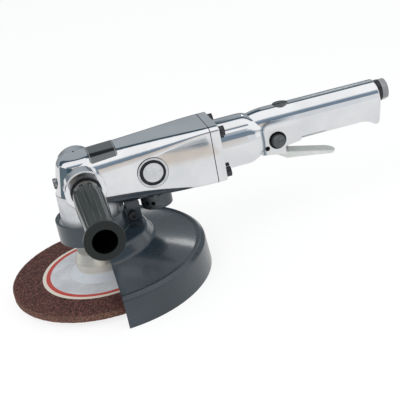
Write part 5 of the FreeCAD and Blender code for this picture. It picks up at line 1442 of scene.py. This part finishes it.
@dataclass
class WheelDetails(Assembly):
    """The wheel as its grains show: the same disc with real relief, standing for the plain solid."""

    body: Body = Body.SPINDLE
    radius: float = 0.089
    thickness: float = 0.00635
    bore: float = 0.01112
    label_radius: float = 0.0596
    label_border: float = 0.0006
    hub_lift: float = 0.0052
    hub_top: float = 0.027
    hub_foot: float = 0.033
    hub_shift: float = 0.003
    turns: int = 300
    grain: float = 0.00042
    grain_size: float = 0.0016
    face_run: float = 0.0016
    rim_run: float = 0.0009
    back_run: float = 0.0011
    face_margin: float = 0.0001

    def profile(self) -> list[Span]:
        """The wheel's outline, with short runs where grains show.

        Returns:
            Its points in order, as (radius, height).
        """
        def run(start: Span, end: Span, step: float) -> list[Span]:
            """Points from start up to end, which is left out."""
            count = max(1, round(math.dist(start, end) / step))
            return [tuple(a + (b - a) * n / count for a, b in zip(start, end)) for n in range(count)]

        lift, top, back = self.hub_lift, self.thickness + self.hub_lift, self.thickness
        return [
            (self.bore, lift),
            (self.hub_top - self.hub_shift, lift),
            *run((self.hub_foot - self.hub_shift, 0.0), (self.radius, 0.0), self.face_run),
            *run((self.radius, 0.0), (self.radius, back), self.rim_run),
            *run((self.radius, back), (self.label_radius, back), self.back_run),
            (self.label_radius, back),
            (self.hub_foot, back),
            (self.hub_top, top),
            (self.bore, top),
        ]

    def build(self) -> None:
        """Builds and dresses every piece of the group."""
        wheel = Bench.wind("wheel_grit", self.profile(), self.turns)
        group = wheel.vertex_groups.new(name="grains")
        group.add([v.index for v in wheel.data.vertices if self.is_gritty(v.co)], 1.0, "REPLACE")
        cells = bpy.data.textures.new("grains", "VORONOI")
        cells.noise_scale = self.grain_size
        Bench.modify(
            wheel, "DISPLACE", texture=cells, texture_coords="LOCAL", strength=self.grain, mid_level=1.0,
            vertex_group="grains",
        )
        self.finish(wheel, GRIT, "abrasive", 70.0)
        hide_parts("grinding_wheel")

    def is_gritty(self, place: Vector) -> bool:
        """Whether grains stand out at a place on the wheel.

        Args:
            place: the place.

        Returns:
            Whether they do.
        """
        away = math.hypot(place.x, place.y)
        below = place.z < self.face_margin and away > self.hub_foot
        return below or away > self.label_radius + self.label_border


@dataclass(frozen=True)
class Panel:
    """A flat studio panel: its name, its four corners in order, its colour and how brightly it glows."""

    name: str
    corners: tuple[Place, ...]
    colour: Colour
    strength: float = 1.0


def lying(height: float, *corners: Span) -> tuple[Place, ...]:
    """The corners of a panel that lies level."""
    return tuple((x, y, height) for x, y in corners)


def standing(start: Span, end: Span, low: float, high: float) -> tuple[Place, ...]:
    """The corners of a panel that stands on end, from one point of the plan to another."""
    return (*start, low), (*end, low), (*end, high), (*start, high)


BAND = lying(FLOOR_Z + 0.003, (0.09, -0.3425), (0.184, -0.3465), (0.184, -0.3195), (0.13, -0.3305))
TINT = lying(FLOOR_Z + 0.002, (0.09, -0.3425), (0.184, -0.3195), (0.184, -0.288), (0.08, -0.296))
SHEEN = ((1.047, 1.659, 1.065), (0.920, 1.726, 1.065), (0.853, 1.602, 1.295), (0.981, 1.534, 1.295))

PANELS = (
    Panel("front_band", BAND, paint(104, 118, 130)),
    Panel("front_tint", TINT, paint(214, 203, 192)),
    Panel("near_flag", standing((-0.62, -0.30), (-0.40, -0.56), 0.0, 0.3), paint(64, 86, 94)),
    Panel("far_flag", standing((-0.62, 0.25), (-0.62, -0.30), 0.0, 0.3), paint(96, 112, 120)),
    Panel("cone_sheen", SHEEN, WHITE, 6.5),
    Panel("handle_flag", standing((0.345, 0.395), (0.54, 0.395), 0.30, 0.46), paint(159, 167, 171)),
)

# The tent's bands: degrees from straight up, with the front counted as plus, and the colour there.
TENT_BANDS = (
    (-110.0, (126, 132, 136)), (-84.0, (116, 123, 128)), (-77.0, (146, 153, 157)), (-70.0, (163, 170, 174)),
    (-42.0, (156, 164, 169)), (-37.0, (62, 80, 90)), (-30.0, (66, 84, 94)), (-26.0, (246, 248, 252)),
    (-22.0, (255, 255, 255)), (33.0, (255, 255, 255)), (41.0, (160, 172, 184)), (46.0, (118, 134, 150)),
    (59.0, (126, 141, 156)), (62.0, (92, 104, 116)), (65.0, (204, 196, 188)), (84.0, (222, 216, 211)),
    (104.0, (228, 228, 230)),
)


@dataclass
class Studio:
    """The camera, the light, the pale floor and the panels that polished metal reflects."""

    eye: Place = (-0.031383, -0.762594, 0.396704)
    right: Place = (0.952283, -0.251335, -0.173171)
    up: Place = (0.258632, 0.363206, 0.895093)
    lens: float = 78.6295
    sensor: float = 36.0
    sight: Span = (0.01, 20.0)
    lamp_aim: Place = (0.12, 0.0, 0.06)
    sky: Colour = (0.95, 0.975, 1.0, 1.0)
    sky_strength: float = 0.62
    floor_size: float = 12.0
    floor_gap: float = 0.00002
    floor_shade: Colour = (0.86, 0.86, 0.86, 1.0)
    floor_light: Colour = (0.9, 0.9, 0.9, 1.0)
    floor_fibres: Grain = Grain(400.0)
    floor_roughness: float = 0.9
    floor_glow: Span = (1.12, 0.86)
    floor_glow_share: float = 0.72
    tent_centre: Place = (0.1, 0.0, 0.1)
    tent_radius: float = 2.4
    tent_length: float = 9.0
    tent_foot_z: float = -0.05
    tent_angles: Span = (-112.0, 112.0)
    plain: Colour = paint(224, 227, 230)
    plain_from: Span = (61.0, 64.0)
    plain_x: Span = (0.6, 0.85)
    gap: Colour = paint(66, 84, 94)
    gap_from: Span = (-57.0, -53.0)
    gap_to: Span = (-30.0, -34.0)
    gap_x: Span = (0.68, 0.60)

    def build(self) -> None:
        """Sets the whole studio up."""
        self.camera()
        self.world()
        self.lamp("key_lamp", (-0.75, -0.75, 1.15), watts=7.5, side=1.1)
        self.lamp("fill_lamp", (0.9, -0.9, 0.8), watts=3.0, side=1.2)
        self.floor()
        self.tent()
        for panel in PANELS:
            self.panel(panel)
        LOG.info("studio is set up")

    def camera(self) -> None:
        """The camera at the photograph's place."""
        data = bpy.data.cameras.new("camera")
        data.lens, data.sensor_width = self.lens, self.sensor
        data.clip_start, data.clip_end = self.sight
        camera = bpy.data.objects.new("camera", data)
        bpy.context.scene.collection.objects.link(camera)
        x = Vector(self.right).normalized()
        y = (Vector(self.up) - x * x.dot(Vector(self.up))).normalized()
        turn = Matrix((x, y, x.cross(y))).transposed().to_4x4()
        camera.matrix_world = Matrix.Translation(self.eye) @ turn
        bpy.context.scene.camera = camera

    def lamp(self, name: str, place: Place, watts: float, side: float) -> None:
        """A soft square lamp that looks at the object and that no gloss shows.

        Args:
            name: its name.
            place: where it hangs.
            watts: its power.
            side: its side.
        """
        data = bpy.data.lights.new(name, "AREA")
        data.shape, data.size, data.energy = "SQUARE", side, watts
        lamp = bpy.data.objects.new(name, data)
        bpy.context.scene.collection.objects.link(lamp)
        away = Vector(place) - Vector(self.lamp_aim)
        lamp.matrix_world = Matrix.Translation(place) @ away.to_track_quat("Z", "Y").to_matrix().to_4x4()
        lamp.visible_glossy = False

    def seen(self, sheet: NodeSheet) -> Socket:
        """1 for what the camera, a gloss or glass sees directly, and 0 for light.

        Args:
            sheet: the nodes of what is seen.

        Returns:
            That switch.
        """
        path = sheet.make("LightPath", {}).node.outputs
        gloss = sheet.maths("MAXIMUM", path["Is Glossy Ray"], path["Is Transmission Ray"])
        return sheet.maths("MAXIMUM", path["Is Camera Ray"], gloss)

    def world(self) -> None:
        """A plain pale world that is white to the eye."""
        world = bpy.context.scene.world = bpy.data.worlds.new("studio")
        sheet = NodeSheet.of(world)
        light = sheet.make("Background", {"Color": self.sky, "Strength": self.sky_strength})
        white = sheet.make("Background", {"Color": WHITE})
        sheet.show(sheet.make("MixShader", {0: self.seen(sheet), 1: light, 2: white}))

    def floor(self) -> None:
        """A plain pale floor that keeps the object's soft shadow."""
        bpy.ops.mesh.primitive_plane_add(size=self.floor_size, location=(0.0, 0.0, FLOOR_Z - self.floor_gap))
        floor = Bench.take("studio_floor")
        sheet = self.surface(floor, "floor_paper")
        paper = sheet.blend(sheet.noise(self.floor_fibres), self.floor_shade, self.floor_light)
        sheet.coat({"Base Color": paper, "Roughness": self.floor_roughness, "Specular IOR Level": 0.0})
        glossy = sheet.make("LightPath", {}, "Is Glossy Ray")
        glow = sheet.glow(WHITE, sheet.fade(glossy, *self.floor_glow))
        matte = sheet.tree.nodes["Principled BSDF"].outputs[0]
        share = sheet.times(self.seen(sheet), self.floor_glow_share)
        sheet.show(sheet.make("MixShader", {0: share, 1: matte, 2: glow}))

    def surface(self, piece: Piece, name: str) -> NodeSheet:
        """Gives a piece of the studio a material of its own.

        Args:
            piece: the piece.
            name: the material's name.

        Returns:
            The material's nodes.
        """
        material = bpy.data.materials.new(name)
        piece.data.materials.append(material)
        return NodeSheet.of(material)

    def reflected_only(self, piece: Piece) -> None:
        """Makes a panel show in reflections alone, hidden from the camera, diffuse light, shadows and glass.

        Args:
            piece: the panel.
        """
        piece.visible_camera = piece.visible_diffuse = False
        piece.visible_shadow = piece.visible_transmission = False

    def panel(self, panel: Panel) -> None:
        """A flat panel that only reflections show.

        Args:
            panel: what it is like.
        """
        bpy.ops.mesh.primitive_plane_add(size=1.0)
        piece = Bench.take(panel.name)
        first, second, third, fourth = panel.corners
        for vertex, corner in zip(piece.data.vertices, (first, second, fourth, third)):
            vertex.co = corner
        sheet = self.surface(piece, panel.name)
        sheet.show(sheet.glow(panel.colour, panel.strength))
        self.reflected_only(piece)

    def tent(self) -> None:
        """A light tent round the object: grey behind, a dark gap, a bright roof, blue-grey in front."""
        bpy.ops.mesh.primitive_cylinder_add(
            vertices=128, radius=self.tent_radius, depth=self.tent_length, end_fill_type="NOTHING",
            location=self.tent_centre, rotation=(0.0, QUARTER_TURN, 0.0),
        )
        tent = Bench.take("light_tent")
        Bench.settle(tent)
        with Bench.editing(tent, everything=True):
            bpy.ops.mesh.bisect(
                plane_co=(0.0, 0.0, self.tent_foot_z), plane_no=Axis.Z.value, clear_inner=True,
            )
        sheet = self.surface(tent, "tent_panels")
        x, front = sheet.along(Axis.X), sheet.times(sheet.along(Axis.Y), -1.0)
        over = sheet.maths("SUBTRACT", sheet.along(Axis.Z), self.tent_centre[2])
        angle = sheet.times(sheet.maths("ARCTAN2", front, over), math.degrees(1.0))
        start, end = self.tent_angles
        stops = [((degrees - start) / (end - start), paint(*tone)) for degrees, tone in TENT_BANDS]
        colour = sheet.ramp(sheet.spread(angle, start, end), stops)
        beyond = sheet.times(sheet.spread(angle, *self.plain_from), sheet.spread(x, *self.plain_x))
        colour = sheet.blend(beyond, colour, self.plain)
        gap = sheet.times(sheet.spread(angle, *self.gap_from), sheet.spread(angle, *self.gap_to))
        colour = sheet.blend(sheet.times(gap, sheet.spread(x, *self.gap_x)), colour, self.gap)
        sheet.show(sheet.glow(colour))
        self.reflected_only(tent)


def dress_solids() -> None:
    """Gives every carried-over solid its finish."""
    for finish, names in DRESSED.items():
        for name in names:
            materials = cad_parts[name].data.materials
            materials.clear()
            materials.append(finish.material())
            LOG.info("%s is finished as %s", name, finish.name)
    missing = set(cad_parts) - {name for names in DRESSED.values() for name in names}
    if missing:
        raise ValueError(f"no finish for {sorted(missing)}")


def main() -> None:
    """Dresses the solids, builds the detail pieces and sets up the studio."""
    logging.basicConfig(level=logging.INFO, format="%(name)s: %(message)s")
    bpy.context.scene.view_settings.view_transform = "Standard"
    dress_solids()
    for group in (
        HeadDetails(), HandleDetails(), GuardDetails(), RegulatorDetails(), ValveDetails(), WheelDetails(),
    ):
        group.build()
        LOG.info("%s has %d pieces", type(group).__name__, len(group.pieces))
    Studio().build()


if __name__ == "__main__":
    main()
